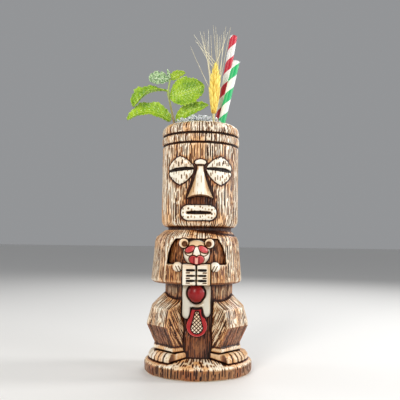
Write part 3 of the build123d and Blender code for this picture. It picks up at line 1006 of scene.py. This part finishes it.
def muzzle_shade(obj, points, normals):
    """Three lobes: two red cheeks and a pale middle."""
    middle = middle_of("cub_muzzle")
    x = np.abs(points[:, 0] - middle[0])
    z = points[:, 2] - middle[2]
    pale = smoothstep(1.5, 0.9, x) * between(z, -2.0, 2.0, 0.7)
    value = read_attribute(obj, "glaze_and_shade")
    edge = between(x, 1.7, 2.1, 0.5) * between(z, -2.4, 3.0, 0.6)
    set_attribute(obj, "glaze_and_shade", np.clip(np.maximum(value * (1 - pale), 0.8 * edge), 0, 1))


relief(["left_arm", "right_arm"], "carved", rounds=9, cutter=arm_grain, depth=0.42, base=0.01,
       halo=4.0, crevice=0.86, edge=0.3, warm=-0.25, shade=arm_shade)
relief(["left_leg", "right_leg"], "carved", rounds=4, cutter=leg_grain, depth=0.38, base=0.03,
       crevice=0.86, halo=3.0, edge=0.4, shade=leg_shade)
relief(["upper_lip", "lower_lip"], "cream", 0.35, 5,
       cutter=ticks(93, 3.4, 0.8, 0.9, (3.0, 5.0)), cushion=(["vessel"], 3.0), warp=mouth_slit(),
       shade=lip_shade)
for side_index, side in enumerate(SIDES):
    relief(side + "_hand", "cream", 0.36, 4, cutter=finger_cuts(side + "_hand"), depth=1.1,
           warm=0.6 * side_index - 0.4, shade=hand_shade)
    relief(side + "_foot", "carved", 0.45, 9, cutter=foot_cuts, depth=1.3, base=0.02,
           shade=foot_shade)
    slit = eye_slit(side)
    for lid, seed in (("_upper_eyelid", 81), ("_lower_eyelid", 83)):
        strokes = ticks(seed + side_index, 1.5, 0.55, 1.2, (5.0, 8.0), 0.6)
        relief(side + lid, "cream", 0.35, 4, cutter=strokes, cushion=(["vessel"], 4.0),
               warp=slit, warm=-0.6)
    relief(side + "_cub_ear", "cream", 0.35, 5, shade=ear_shade(side + "_cub_ear"))
    relief(side + "_cub_eye", "pink", 0.3, 3, reach=0.8, base=0.36, cushion=(["cub_head"], 1.6))
    relief(side + "_cub_paw", "cream", 0.35, 3, cutter=paw_cuts(side + "_cub_paw"), depth=0.9)
relief("nose", "cream", 0.4, 6, cutter=ticks(91, 2.8, 0.42, 0.6, (6.0, 16.0)),
       warp=slim_nose, shade=nose_shade)
relief("brow_bead", "cream", 0.35, 4, cushion=(["vessel"], 2.2))
relief("cub_head", "cream", 0.4, 4, cutter=face_lines, depth=0.3, base=0.05)
relief("cub_nose", "cream", 0.3, 4)
relief("cub_muzzle", "pink", 0.3, 4, reach=0.9, base=0.46, shade=muzzle_shade)
relief("cub_belly", "red", 0.4, 5, base=0.4)
relief("cub_legs", "grey", 0.4, 4, cushion=(["vessel"], 3.0))
relief("pear_pendant", "red", 0.35, 3, base=0.3, edge=0.3)
relief("pear_core", "cream", 0.28, 2, cutter=crosshatch, depth=0.45, reach=0.0, cut_weight=1.5)


# ---- garnish: shared helpers -----------------------------------------------------------


def add_tube(points, faces, path, radii, sides):
    """Adds a closed tapered tube along a path in mm to lists of points and faces."""
    start = len(points)
    last = start + (len(path) - 1) * sides
    for place, tangent, radius in zip(path, np.gradient(path, axis=0), radii):
        across = unit(np.cross(unit(tangent), (0.0, 1.0, 0.0)))
        up = np.cross(across, unit(tangent))
        for step in range(sides):
            turn = step / sides * 2 * math.pi
            points.append(place + radius * (math.cos(turn) * across + math.sin(turn) * up))
    for ring in range(start, last, sides):
        faces.extend(band(ring, ring + sides, sides))
    faces.append(tuple(reversed(range(start, start + sides))))
    faces.append(tuple(range(last, last + sides)))


def bezier(a, b, c, count):
    """Points along the curve from a to c that bends towards b."""
    t = np.linspace(0, 1, count)[:, None]
    a, b, c = (np.asarray(p, float) for p in (a, b, c))
    return (1 - t) ** 2 * a + 2 * t * (1 - t) * b + t ** 2 * c


def joint_axis(body):
    """Unit vector along which a body slides."""
    return unit(np.array(next(j for j in frame["joints"] if j["child"] == body)["axis"], float))


def around_axis(axis):
    """The two unit vectors across an axis that leans in the XZ plane: to the side and to the front."""
    return np.array([axis[2], 0.0, -axis[0]]), np.array([0.0, -1.0, 0.0])


def stem_foot(node):
    """Middle of the lower end of the mint stem, at its box's right, or of the wheat stalk, at its left."""
    low, high = box_mm(node)
    mint_radius, wheat_radius = 0.9, 1.1
    x = high[0] - mint_radius if node == "mint_stem" else low[0] + wheat_radius
    return np.array([x, (low[1] + high[1]) / 2, low[2]])


def in_box(node, place):
    """A point in mm from its shares of a node's box along x, y and z, which may go past 0..1."""
    low, high = box_mm(node)
    return low + np.array(place) * (high - low)


# ---- paper straws ----------------------------------------------------------------------


def straw_line(node):
    """Foot, top and radius of a straw, in mm, from its box and the way it slides."""
    low, high = box_mm(node)
    axis = joint_axis(node + "_lift")
    radius = (high[1] - low[1]) / 2
    middle = (high[1] + low[1]) / 2
    top = np.array([high[0] - radius * axis[2], middle, high[2] - radius * axis[0]])
    foot = np.array([low[0] + radius * axis[2], middle, low[2] + radius * axis[0]])
    return foot, top, radius


def paper_material(name, colour):
    """White paper with one wide spiral stripe, softly inked, and a fine fibre."""
    material, tree, shader = new_material(name)
    fibre = noise_value(tree, 2600.0, 5.0, 0.7, (1, 1, 0.35))
    wave = maths(tree, "ADD", attribute(tree, "stripe"), swing(tree, fibre, 0.22))
    share = maths(tree, "MULTIPLY_ADD", wave, 0.5, 0.5, clamp=True)
    ink = ramp(tree, share, ((0.485, (0, 0, 0)), (0.515, (1, 1, 1))))
    mottle = ramp(tree, fibre, ((0.3, (0.86, 0.85, 0.83)), (0.7, (1.0, 1.0, 1.0))))
    paper = mix_colour(tree, ink, (0.93, 0.92, 0.90), colour)
    feed(tree, shader.inputs, {
        "Base Color": mix_colour(tree, 1.0, paper, mottle, "MULTIPLY"),
        "Roughness": 0.42,
        "Sheen Weight": 0.15,
        "Normal": bump(tree, fibre, 0.25, 0.0001),
    })
    return material


def build_straw(node, colour, phase):
    """Hollow tube of wound paper: the winding's lapped edge stands proud along one spiral."""
    foot, top, radius = straw_line(node)
    wall, pitch, columns, chamfer = 0.4, 21.5, 72, 0.12
    length = np.linalg.norm(top - foot)
    axis = unit(top - foot)
    side, front = around_axis(axis)
    stations = np.linspace(0, length, int(length / 1.1))
    profile = [(radius - chamfer, 0.0)]
    profile += [(radius, z) for z in stations[1:-1]] + [(radius - chamfer, length)]
    profile += [(radius - wall, z) for z in stations[::-1]]
    angle = np.arange(columns) / columns * 2 * math.pi
    points, stripes = [], []
    for ring_radius, z in profile:
        turn = angle - 2 * math.pi * (z / pitch + phase)
        is_outer = ring_radius > radius - wall / 2
        lap = 0.07 * np.clip(1 - np.mod(turn, 2 * math.pi) / 1.2, 0, 1) * is_outer
        ring = ring_radius + lap
        offset = np.outer(ring * np.sin(angle), side) + np.outer(ring * np.cos(angle), front)
        points.extend(foot + axis * z + offset)
        stripes.extend(np.cos(turn))
    faces = []
    for row in range(len(profile)):
        faces.extend(band(row * columns, (row + 1) % len(profile) * columns, columns))
    obj = make_object(node + "_tube", points, faces)
    set_attribute(obj, "stripe", np.array(stripes) * 3.0)
    settle(obj, [node], paper_material(node + "_paper", colour))


build_straw("red_straw", (0.62, 0.008, 0.035), 0.05)
build_straw("green_straw", (0.012, 0.50, 0.15), 0.30)


# ---- wheat -----------------------------------------------------------------------------


def straw_material(name, pale, deep, roughness=0.5):
    """Dry plant fibre: streaks along its length, between two colours."""
    material, tree, shader = new_material(name)
    streak = noise_value(tree, 1400.0, 4.0, 0.65, (1, 1, 0.12))
    broad = maths(tree, "MULTIPLY", attribute(tree, "shade"), 0.75)
    shade = maths(tree, "ADD", broad, maths(tree, "MULTIPLY", streak, 0.45))
    feed(tree, shader.inputs, {
        "Base Color": ramp(tree, shade, ((0.15, deep), (0.85, pale))),
        "Roughness": roughness,
        "Sheen Weight": 0.2,
        "Normal": bump(tree, streak, 0.35, 0.0002),
    })
    return material


kernel_shares = np.array([0.0, 0.10, 0.28, 0.5, 0.72, 0.9, 1.0])      # stations along a husked grain
kernel_girths = np.array([0.25, 0.75, 1.0, 0.85, 0.50, 0.20, 0.04])   # shares of its width there


def build_wheat():
    """The ear: levels of husked grains round its axis. Returns each grain's tip and which way it faces."""
    draw = np.random.default_rng(401)
    low, high = box_mm("wheat_ear")
    axis = joint_axis("wheat_sprig")
    length = (high[2] - low[2]) / axis[2]
    foot = np.array([low[0] + high[0], low[1] + high[1], 2 * low[2]]) / 2
    foot[0] -= axis[0] / axis[2] * (high[2] - low[2]) / 2
    side, front = around_axis(axis)
    points, faces, shade, roots = [], [], [], []
    levels = 16
    for level in range(levels):
        share = level / (levels - 1)
        place = foot + axis * (1.0 + share * (length - 9.0))
        size = math.sin(math.pi * (0.05 + 0.80 * (1 - share))) ** 0.8
        for spoke in range(5):
            turn = 2 * math.pi * (spoke / 5 + 0.1 * (level % 2)) + draw.uniform(-0.15, 0.15)
            outward = math.sin(turn) * side + math.cos(turn) * front
            base = place + outward * 1.9 * size
            direction = unit(axis + outward * (0.44 * size - 0.06 + draw.uniform(-0.05, 0.07)))
            grain_length = 8.2 * (0.75 + 0.25 * size)
            path = base + np.outer(kernel_shares * grain_length, direction)
            add_tube(points, faces, path, kernel_girths * 1.6 * size, 8)
            # Each grain is darker at its base, painted shade where the grains crowd, with a random tone per grain.
            shade.extend(np.repeat(kernel_shares, 8) * 0.9 + draw.uniform(-0.2, 0.3))
            roots.append((base + direction * grain_length * 0.94, outward))
    ear = make_object("wheat_grains", points, faces)
    set_attribute(ear, "shade", shade)
    gold = straw_material("wheat_grain", (1.0, 0.86, 0.20), (0.72, 0.40, 0.02))
    settle(ear, ["wheat_ear"], gold)
    return roots


def build_awns(roots):
    """Long bristles that fan out of the ear, each tapering from its grain."""
    draw = np.random.default_rng(402)
    low, high = box_mm("wheat_awns")
    points, faces, shade = [], [], []
    chosen = [root for root in roots[34::2] if abs(root[1][0]) > 0.3]
    chosen.sort(key=lambda root: root[1][0])
    count = len(chosen)
    for index, (root, outward) in enumerate(chosen):
        spread = (index + draw.uniform(0.2, 0.8)) / count
        rise = high[2] - 10.0 * max(0.0, 0.5 - spread) / 0.5 - draw.uniform(0, 10.0)
        tip_x = low[0] + spread * (high[0] - low[0])
        tip_y = np.clip((low[1] + high[1]) / 2 - 2.4 * outward[1], low[1], high[1])
        tip = np.array([tip_x, tip_y, rise])
        middle = (root + tip) / 2 + np.array([0.02 * (tip[0] - root[0]), 0.0, draw.uniform(-1.0, 1.0)])
        add_tube(points, faces, bezier(root, middle, tip, 14), np.linspace(0.27, 0.10, 14), 6)
        shade.extend([draw.uniform(0.2, 1.0)] * (len(points) - len(shade)))
    awns = make_object("wheat_bristles", points, faces)
    set_attribute(awns, "shade", shade)
    straw = straw_material("wheat_bristle", (0.86, 0.80, 0.58), (0.52, 0.42, 0.22))
    settle(awns, ["wheat_awns"], straw)


def build_wheat_stalk():
    """The stalk under the ear, with one swollen joint."""
    axis = joint_axis("wheat_sprig")
    foot = stem_foot("wheat_stalk")
    length = (top_of("wheat_stalk") - foot[2]) / axis[2] + 1.5
    shares = np.linspace(0, 1, 40)
    swell = 0.10 * np.exp(-(((shares - 0.35) / 0.02) ** 2))
    points, faces = [], []
    add_tube(points, faces, foot + np.outer(shares * length, axis), 1.0 + swell, 16)
    stalk = make_object("wheat_stem", points, faces)
    set_attribute(stalk, "shade", np.full(len(points), 0.6))
    straw = straw_material("wheat_stem", (0.72, 0.66, 0.36), (0.44, 0.38, 0.14))
    settle(stalk, ["wheat_stalk"], straw)


build_awns(build_wheat())
build_wheat_stalk()


# ---- mint ------------------------------------------------------------------------------


def leaf_material(name, deep, fresh, vein, spots=160.0, sharp=0.20):
    """Quilted leaf: darker between the veins, paler on them, with a waxy sheen."""
    material, tree, shader = new_material(name)
    blotch = noise_value(tree, spots, 4.0)
    fine = noise_value(tree, 1800.0, 3.0)
    colour = ramp(tree, blotch, ((0.5 - sharp, deep), (0.5 + sharp, fresh)))
    colour = mix_colour(tree, attribute(tree, "vein"), colour, vein)
    speck = ramp(tree, fine, ((0.35, (0.82, 0.82, 0.82)), (0.65, (1.0, 1.0, 1.0))))
    colour = mix_colour(tree, 1.0, colour, speck, "MULTIPLY")
    feed(tree, shader.inputs, {
        "Base Color": colour,
        "Roughness": maths(tree, "ADD", maths(tree, "MULTIPLY", fine, 0.3), 0.2),
        "Subsurface Weight": 0.12,
        "Subsurface Radius": (0.0006, 0.0012, 0.0003),
        "Coat Weight": 0.25,
        "Coat Roughness": 0.3,
        "Normal": bump(tree, fine, 0.3, 0.00015),
    })
    return material


leaf_looks = {
    "fresh": leaf_material("mint_fresh", (0.10, 0.30, 0.006), (0.50, 0.74, 0.015), (0.74, 0.90, 0.16)),
    "young": leaf_material("mint_young", (0.28, 0.48, 0.02), (0.52, 0.70, 0.03), (0.66, 0.80, 0.16)),
    "pale": leaf_material("mint_pale", (0.07, 0.22, 0.05), (0.62, 0.82, 0.46), (0.80, 0.92, 0.66),
                          620.0, 0.08),
}


def build_leaf(node, look, base, bend, tip, width, facing, cup=0.18, teeth=9, widest=0.72, full=0.72):
    """A toothed, quilted blade along a curved midrib; base, bend and tip are shares of the node's box."""
    rows, columns = 84, 41
    spine = bezier(in_box(node, base), in_box(node, bend), in_box(node, tip), rows)
    share = np.linspace(0, 1, rows)
    outline = np.clip(np.sin(math.pi * share ** widest), 0, 1) ** full
    outline = outline * (1 + 0.05 * np.sin(share * 23.0) * smoothstep(0.1, 0.3, share))
    saw = np.mod(share * teeth, 1.0)
    outline = np.maximum(outline * (1 + 0.13 * (saw - 0.5) * smoothstep(0.05, 0.3, outline)), 0.02)
    tangent = np.gradient(spine, axis=0)
    tangent /= np.linalg.norm(tangent, axis=1)[:, None]
    sideways = np.cross(tangent, facing)
    sideways /= np.linalg.norm(sideways, axis=1)[:, None]
    outward = np.cross(sideways, tangent)
    t = np.linspace(-1, 1, columns)[None, :]
    s = share[:, None]
    half = (outline * width / 2)[:, None]
    ribs = np.mod((s - 0.30 * np.abs(t)) * (teeth - 1), 1.0)
    off_edges = smoothstep(0.0, 0.1, np.abs(t)) * smoothstep(1.0, 0.8, np.abs(t))
    rib = np.clip(1 - np.abs(ribs - 0.5) / 0.16, 0, 1) * off_edges
    midrib = np.clip(1 - np.abs(t) * half / 0.55, 0, 1)
    quilt = 0.35 * np.cos(2 * math.pi * ribs) * np.cos(7 * math.pi * t) - 0.45 * rib - 0.5 * midrib
    ruffle = 0.5 * np.sin(s * 19 + 2 * t) * np.abs(t) ** 3
    lift = cup * half * t ** 2 * 1.6 + quilt + ruffle
    points = spine[:, None, :] + sideways[:, None, :] * (half * t)[..., None]
    points = points + outward[:, None, :] * lift[..., None]
    corners = [row * columns + column for row in range(rows - 1) for column in range(columns - 1)]
    faces = [(a, a + 1, a + columns + 1, a + columns) for a in corners]
    obj = make_object(node + "_blade", points.reshape(-1, 3), faces)
    edge = smoothstep(0.9, 1.0, np.abs(t)) * np.ones_like(s)
    vein = np.maximum(np.maximum(0.55 * rib, midrib), 0.35 * edge)
    set_attribute(obj, "vein", np.clip(vein, 0, 1).ravel())
    thick = obj.modifiers.new("thickness", "SOLIDIFY")
    thick.thickness = 0.45 * MM
    thick.offset = 0
    settle(obj, [node], leaf_looks[look])


def build_mint_stem():
    """The stem, which bends out over the rim, with a short stalk to each of the upper leaves."""
    low, high = box_mm("mint_stem")
    rim_top = top_of("vessel")
    foot = stem_foot("mint_stem")
    lip = np.array([foot[0], foot[1], rim_top - 1.0])
    crook = np.array([low[0] + 0.9, 0.0, rim_top + 27.6])
    crown = np.array([low[0] + 2.4, 0.0, high[2]])
    lower = np.linspace(foot, lip, 12)
    middle = bezier(lip, (lip + crook) / 2 + np.array([0.6, 0, -3.0]), crook, 16)
    upper = bezier(crook, (crook + crown) / 2 + np.array([-0.8, 0, 0]), crown, 10)
    path = np.concatenate([lower, middle[1:], upper[1:]])
    radii = np.linspace(1.05, 0.75, len(path))
    for swell, height in ((0.35, crook[2]), (0.3, rim_top + 7.0)):
        radii = radii + swell * np.exp(-(((path[:, 2] - height) / 1.5) ** 2))
    points, faces = [], []
    add_tube(points, faces, path, radii, 14)
    stalks = (
        (crook, in_box("mint_leaf_large", (0.02, 0.9, 0.45)), 0.7),
        (crook, in_box("mint_leaf_drooping", (0.99, 0.9, 0.95)), 0.7),
        (crown, in_box("mint_leaf_pale", (0.98, 0.9, 0.5)), 0.6),
        (crown, in_box("mint_leaf_small", (0.03, 0.9, 0.2)), 0.5),
    )
    for start, end, radius in stalks:
        add_tube(points, faces, np.linspace(start, end, 5), np.linspace(radius, radius * 0.8, 5), 10)
    stem = make_object("mint_stalk", points, faces)
    set_attribute(stem, "shade", smoothstep(rim_top, rim_top + 40.0, np.array(points)[:, 2]))
    green = straw_material("mint_stalk", (0.34, 0.44, 0.10), (0.30, 0.15, 0.08), 0.4)
    settle(stem, ["mint_stem"], green)


build_mint_stem()
build_leaf("mint_leaf_pale", "pale", (1.0, 0.9, 0.52), (0.5, 0.3, 0.62), (0.0, 0.1, 0.45), 12.5, (0, -1, 0.3),
           teeth=7, widest=1.25, full=0.5)
build_leaf("mint_leaf_small", "young", (0.0, 0.9, 0.1), (0.4, 0.4, 0.75), (1.0, 0.2, 0.75), 8.0, (0, -1, 0.3),
           teeth=5)
build_leaf("mint_tip", "pale", (0.9, 0.5, 0.0), (0.5, 0.5, 0.5), (0.0, 0.5, 1.0), 2.6, (0, -1, 0.2), teeth=3)
build_leaf("mint_leaf_large", "fresh", (0.0, 0.9, 0.33), (0.5, 0.1, 0.36), (1.03, 0.2, 0.68), 25.0,
           (0, -1, 0.15), teeth=12, widest=0.95, full=0.6)
build_leaf("mint_leaf_drooping", "fresh", (1.0, 0.9, 1.0), (0.30, 0.4, 1.05), (0.02, 0.1, -0.05), 12.5,
           (0.2, -0.55, 1), cup=0.5, teeth=10, widest=1.5)
build_leaf("mint_leaf_low_left", "fresh", (1.0, 0.9, 0.3), (0.45, 0.4, 1.35), (0.0, 0.1, 0.2), 17.0,
           (0, -0.9, 0.7), cup=0.3, teeth=12)
build_leaf("mint_leaf_low_right", "fresh", (0.05, 0.9, -0.25), (0.40, 0.4, 0.55), (1.0, 0.2, 0.85), 12.0,
           (0, -1, 0.35), cup=0.35, teeth=9, widest=1.0)


# ---- crushed ice -----------------------------------------------------------------------


def ice_material():
    """Wet crushed ice: clear in places and frosted in others."""
    material, tree, shader = new_material("crushed_ice")
    cloud = noise_value(tree, 420.0, 5.0)
    feed(tree, shader.inputs, {
        "Base Color": ramp(tree, cloud, ((0.35, (0.70, 0.76, 0.80)), (0.62, (0.97, 0.98, 0.98)))),
        "Roughness": ramp(tree, cloud, ((0.35, (0.08, 0.08, 0.08)), (0.7, (0.38, 0.38, 0.38)))),
        "IOR": 1.31,
        "Transmission Weight": 0.45,
        "Coat Weight": 0.6,
        "Normal": bump(tree, noise_value(tree, 900.0, 4.0), 0.3, 0.0003),
    })
    return material


def add_nugget(points, faces, centre, radius, draw):
    """Adds a broken lump of ice: the hull of a few points on a squashed ball."""
    bm = bmesh.new()
    stretch = draw.uniform(0.7, 1.15, 3)
    for _ in range(16):
        direction = unit(draw.normal(size=3))
        bm.verts.new(Vector(centre + direction * radius * stretch * draw.uniform(0.82, 1.0)))
    bmesh.ops.convex_hull(bm, input=bm.verts)
    loose = [v for v in bm.verts if not v.link_faces]
    bmesh.ops.delete(bm, geom=loose, context="VERTS")
    bmesh.ops.bevel(
        bm, geom=bm.edges[:], offset=radius * 0.10, segments=1, affect="EDGES", clamp_overlap=True
    )
    bm.verts.index_update()
    start = len(points)
    points.extend(tuple(v.co) for v in bm.verts)
    faces.extend(tuple(start + v.index for v in f.verts) for f in bm.faces)
    bm.free()


def evaluated_tree(name):
    """Search tree over one finished piece, in metres."""
    return BVHTree.FromObject(bpy.data.objects[name], bpy.context.evaluated_depsgraph_get())


def off_axis(points, foot, top):
    """The vectors to some points from the nearest places on the axis through foot and top."""
    axis = unit(top - foot)
    offset = points - foot
    return offset - np.outer(offset @ axis, axis)


def clear_of_rod(points, foot, top, clearance):
    """Moves points that are nearer to a rod's axis than the clearance out to it."""
    across = off_axis(points, foot, top)
    distance = np.maximum(np.linalg.norm(across, axis=1), 1e-6)
    shift = np.maximum(clearance - distance, 0)
    return points + across / distance[:, None] * shift[:, None]


def build_ice():
    """A bed that fills the mouth, under a dome of lumps that keep clear of everything standing in it."""
    draw = np.random.default_rng(403)
    rim_top = top_of("vessel")
    leaf = evaluated_tree("mint_leaf_low_right_blade")
    material = ice_material()
    bed = remeshed(["crushed_ice"], "ice_bed", 0.9, 2)
    points = read_points(bed)
    sunk = 4.0 * smoothstep(rim_top - 8.0, rim_top - 2.0, points[:, 2])
    bumps = 2.4 * (noise(points, 3.5, 61) - 0.5) * (points[:, 2] > rim_top - 8.0)
    points[:, 2] += bumps - sunk
    # foot, top, radius and free gap of each thing that stands in the ice
    rods = [(*straw_line("red_straw"), 0.3), (*straw_line("green_straw"), 0.3)]
    for stem, body in (("wheat_stalk", "wheat_sprig"), ("mint_stem", "mint_sprig")):
        foot = stem_foot(stem)
        rods.append((foot, foot + joint_axis(body) * 90.0, 1.1, 0.6))
    for foot, top, radius, _ in rods:
        points = clear_of_rod(points, foot, top, radius + 0.25)
    write_points(bed, points)
    settle(bed, ["crushed_ice"], material)
    mouth_radius, dome_radius, dome_rise = 22.6, 22.0, 5.2
    lumps, points, faces = [], [], []
    tries = 0
    while len(lumps) < 120 and tries < 6000:
        tries += 1
        radius = draw.uniform(1.7, 3.5)
        away = (mouth_radius - radius) * math.sqrt(draw.uniform(0, 1))
        turn = draw.uniform(0, 2 * math.pi)
        dome = rim_top + 3.4 + dome_rise * (1 - (away / dome_radius) ** 2)
        centre = np.array([away * math.sin(turn), -away * math.cos(turn), dome - draw.uniform(0, 4.5)])
        clear = all(np.linalg.norm(off_axis(centre[None], f, t)) > radius + r + gap for f, t, r, gap in rods)
        apart = all(np.linalg.norm(centre - c) > 0.72 * (radius + r) for c, r in lumps)
        under = leaf.find_nearest(Vector(centre) * MM)[3] / MM > radius
        if not (clear and apart and under):
            continue
        lumps.append((centre, radius))
        add_nugget(points, faces, centre, radius, draw)
    obj = make_object("ice_nuggets", points, faces)
    obj.data.shade_flat()
    dress(obj, material)
    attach(obj, "mug")


build_ice()


# ---- stage, light and camera -----------------------------------------------------------


def build_stage():
    """A plain pale floor at the foot of the mug."""
    reach = 12000.0
    corners = [(-reach, -reach, 0), (reach, -reach, 0), (reach, reach, 0), (-reach, reach, 0)]
    floor = make_object("floor", corners, [(0, 1, 2, 3)])
    material, tree, shader = new_material("floor_paint")
    feed(tree, shader.inputs, {"Base Color": (0.80, 0.79, 0.77), "Roughness": 0.6})
    dress(floor, material)


def area_light(name, place, size, power, colour=(1, 1, 1)):
    """A soft box in metres and watts, turned to face the middle of the mug."""
    data = bpy.data.lights.new(name, "AREA")
    data.shape = "RECTANGLE"
    data.size, data.size_y = size
    data.energy = power
    data.color = colour
    lamp = add_object(name, data)
    lamp.location = place
    lamp.rotation_euler = (Vector((0, 0, 0.13)) - Vector(place)).to_track_quat("-Z", "Y").to_euler()


def build_lights():
    """Soft key from the front, low fill, a strip on each side and one behind."""
    area_light("key", (-0.34, -0.80, 0.62), (0.26, 0.50), 5.8, (1.0, 0.97, 0.92))
    area_light("fill", (0.75, -0.50, 0.40), (0.30, 0.60), 1.8, (0.97, 0.98, 1.0))
    area_light("left_edge", (-0.66, 0.12, 0.40), (0.16, 0.56), 0.9)
    area_light("right_edge", (0.66, 0.06, 0.40), (0.16, 0.56), 3.2)
    area_light("back", (0.25, 0.75, 0.70), (0.80, 0.40), 4.0)
    world = bpy.data.worlds.new("studio")
    world.use_nodes = True
    sky = world.node_tree.nodes["Background"]
    sky.inputs["Color"].default_value = (0.92, 0.94, 0.97, 1)
    sky.inputs["Strength"].default_value = 0.32
    bpy.context.scene.world = world


def build_camera():
    """The viewpoint: level with the middle of the mug, tilted up a little and rolled a touch."""
    distance, height, tilt, roll = 0.466, 0.1034, math.radians(4.3), math.radians(0.75)
    data = bpy.data.cameras.new("camera")
    data.lens = 50.4
    data.sensor_width = 36.0
    data.clip_start = 0.01
    camera = add_object("camera", data)
    camera.location = (0.0, -distance, height)
    forward = Vector((0, math.cos(tilt), math.sin(tilt)))
    aim = forward.to_track_quat("-Z", "Y").to_matrix().to_4x4()
    camera.rotation_euler = (aim @ Matrix.Rotation(roll, 4, "Z")).to_euler()
    bpy.context.scene.camera = camera


def build_grading():
    """Plain display colours, so that the glaze keeps its depth."""
    bpy.context.scene.view_settings.view_transform = "Standard"
    bpy.context.scene.view_settings.look = "None"


build_grading()
build_stage()
build_lights()
build_camera()
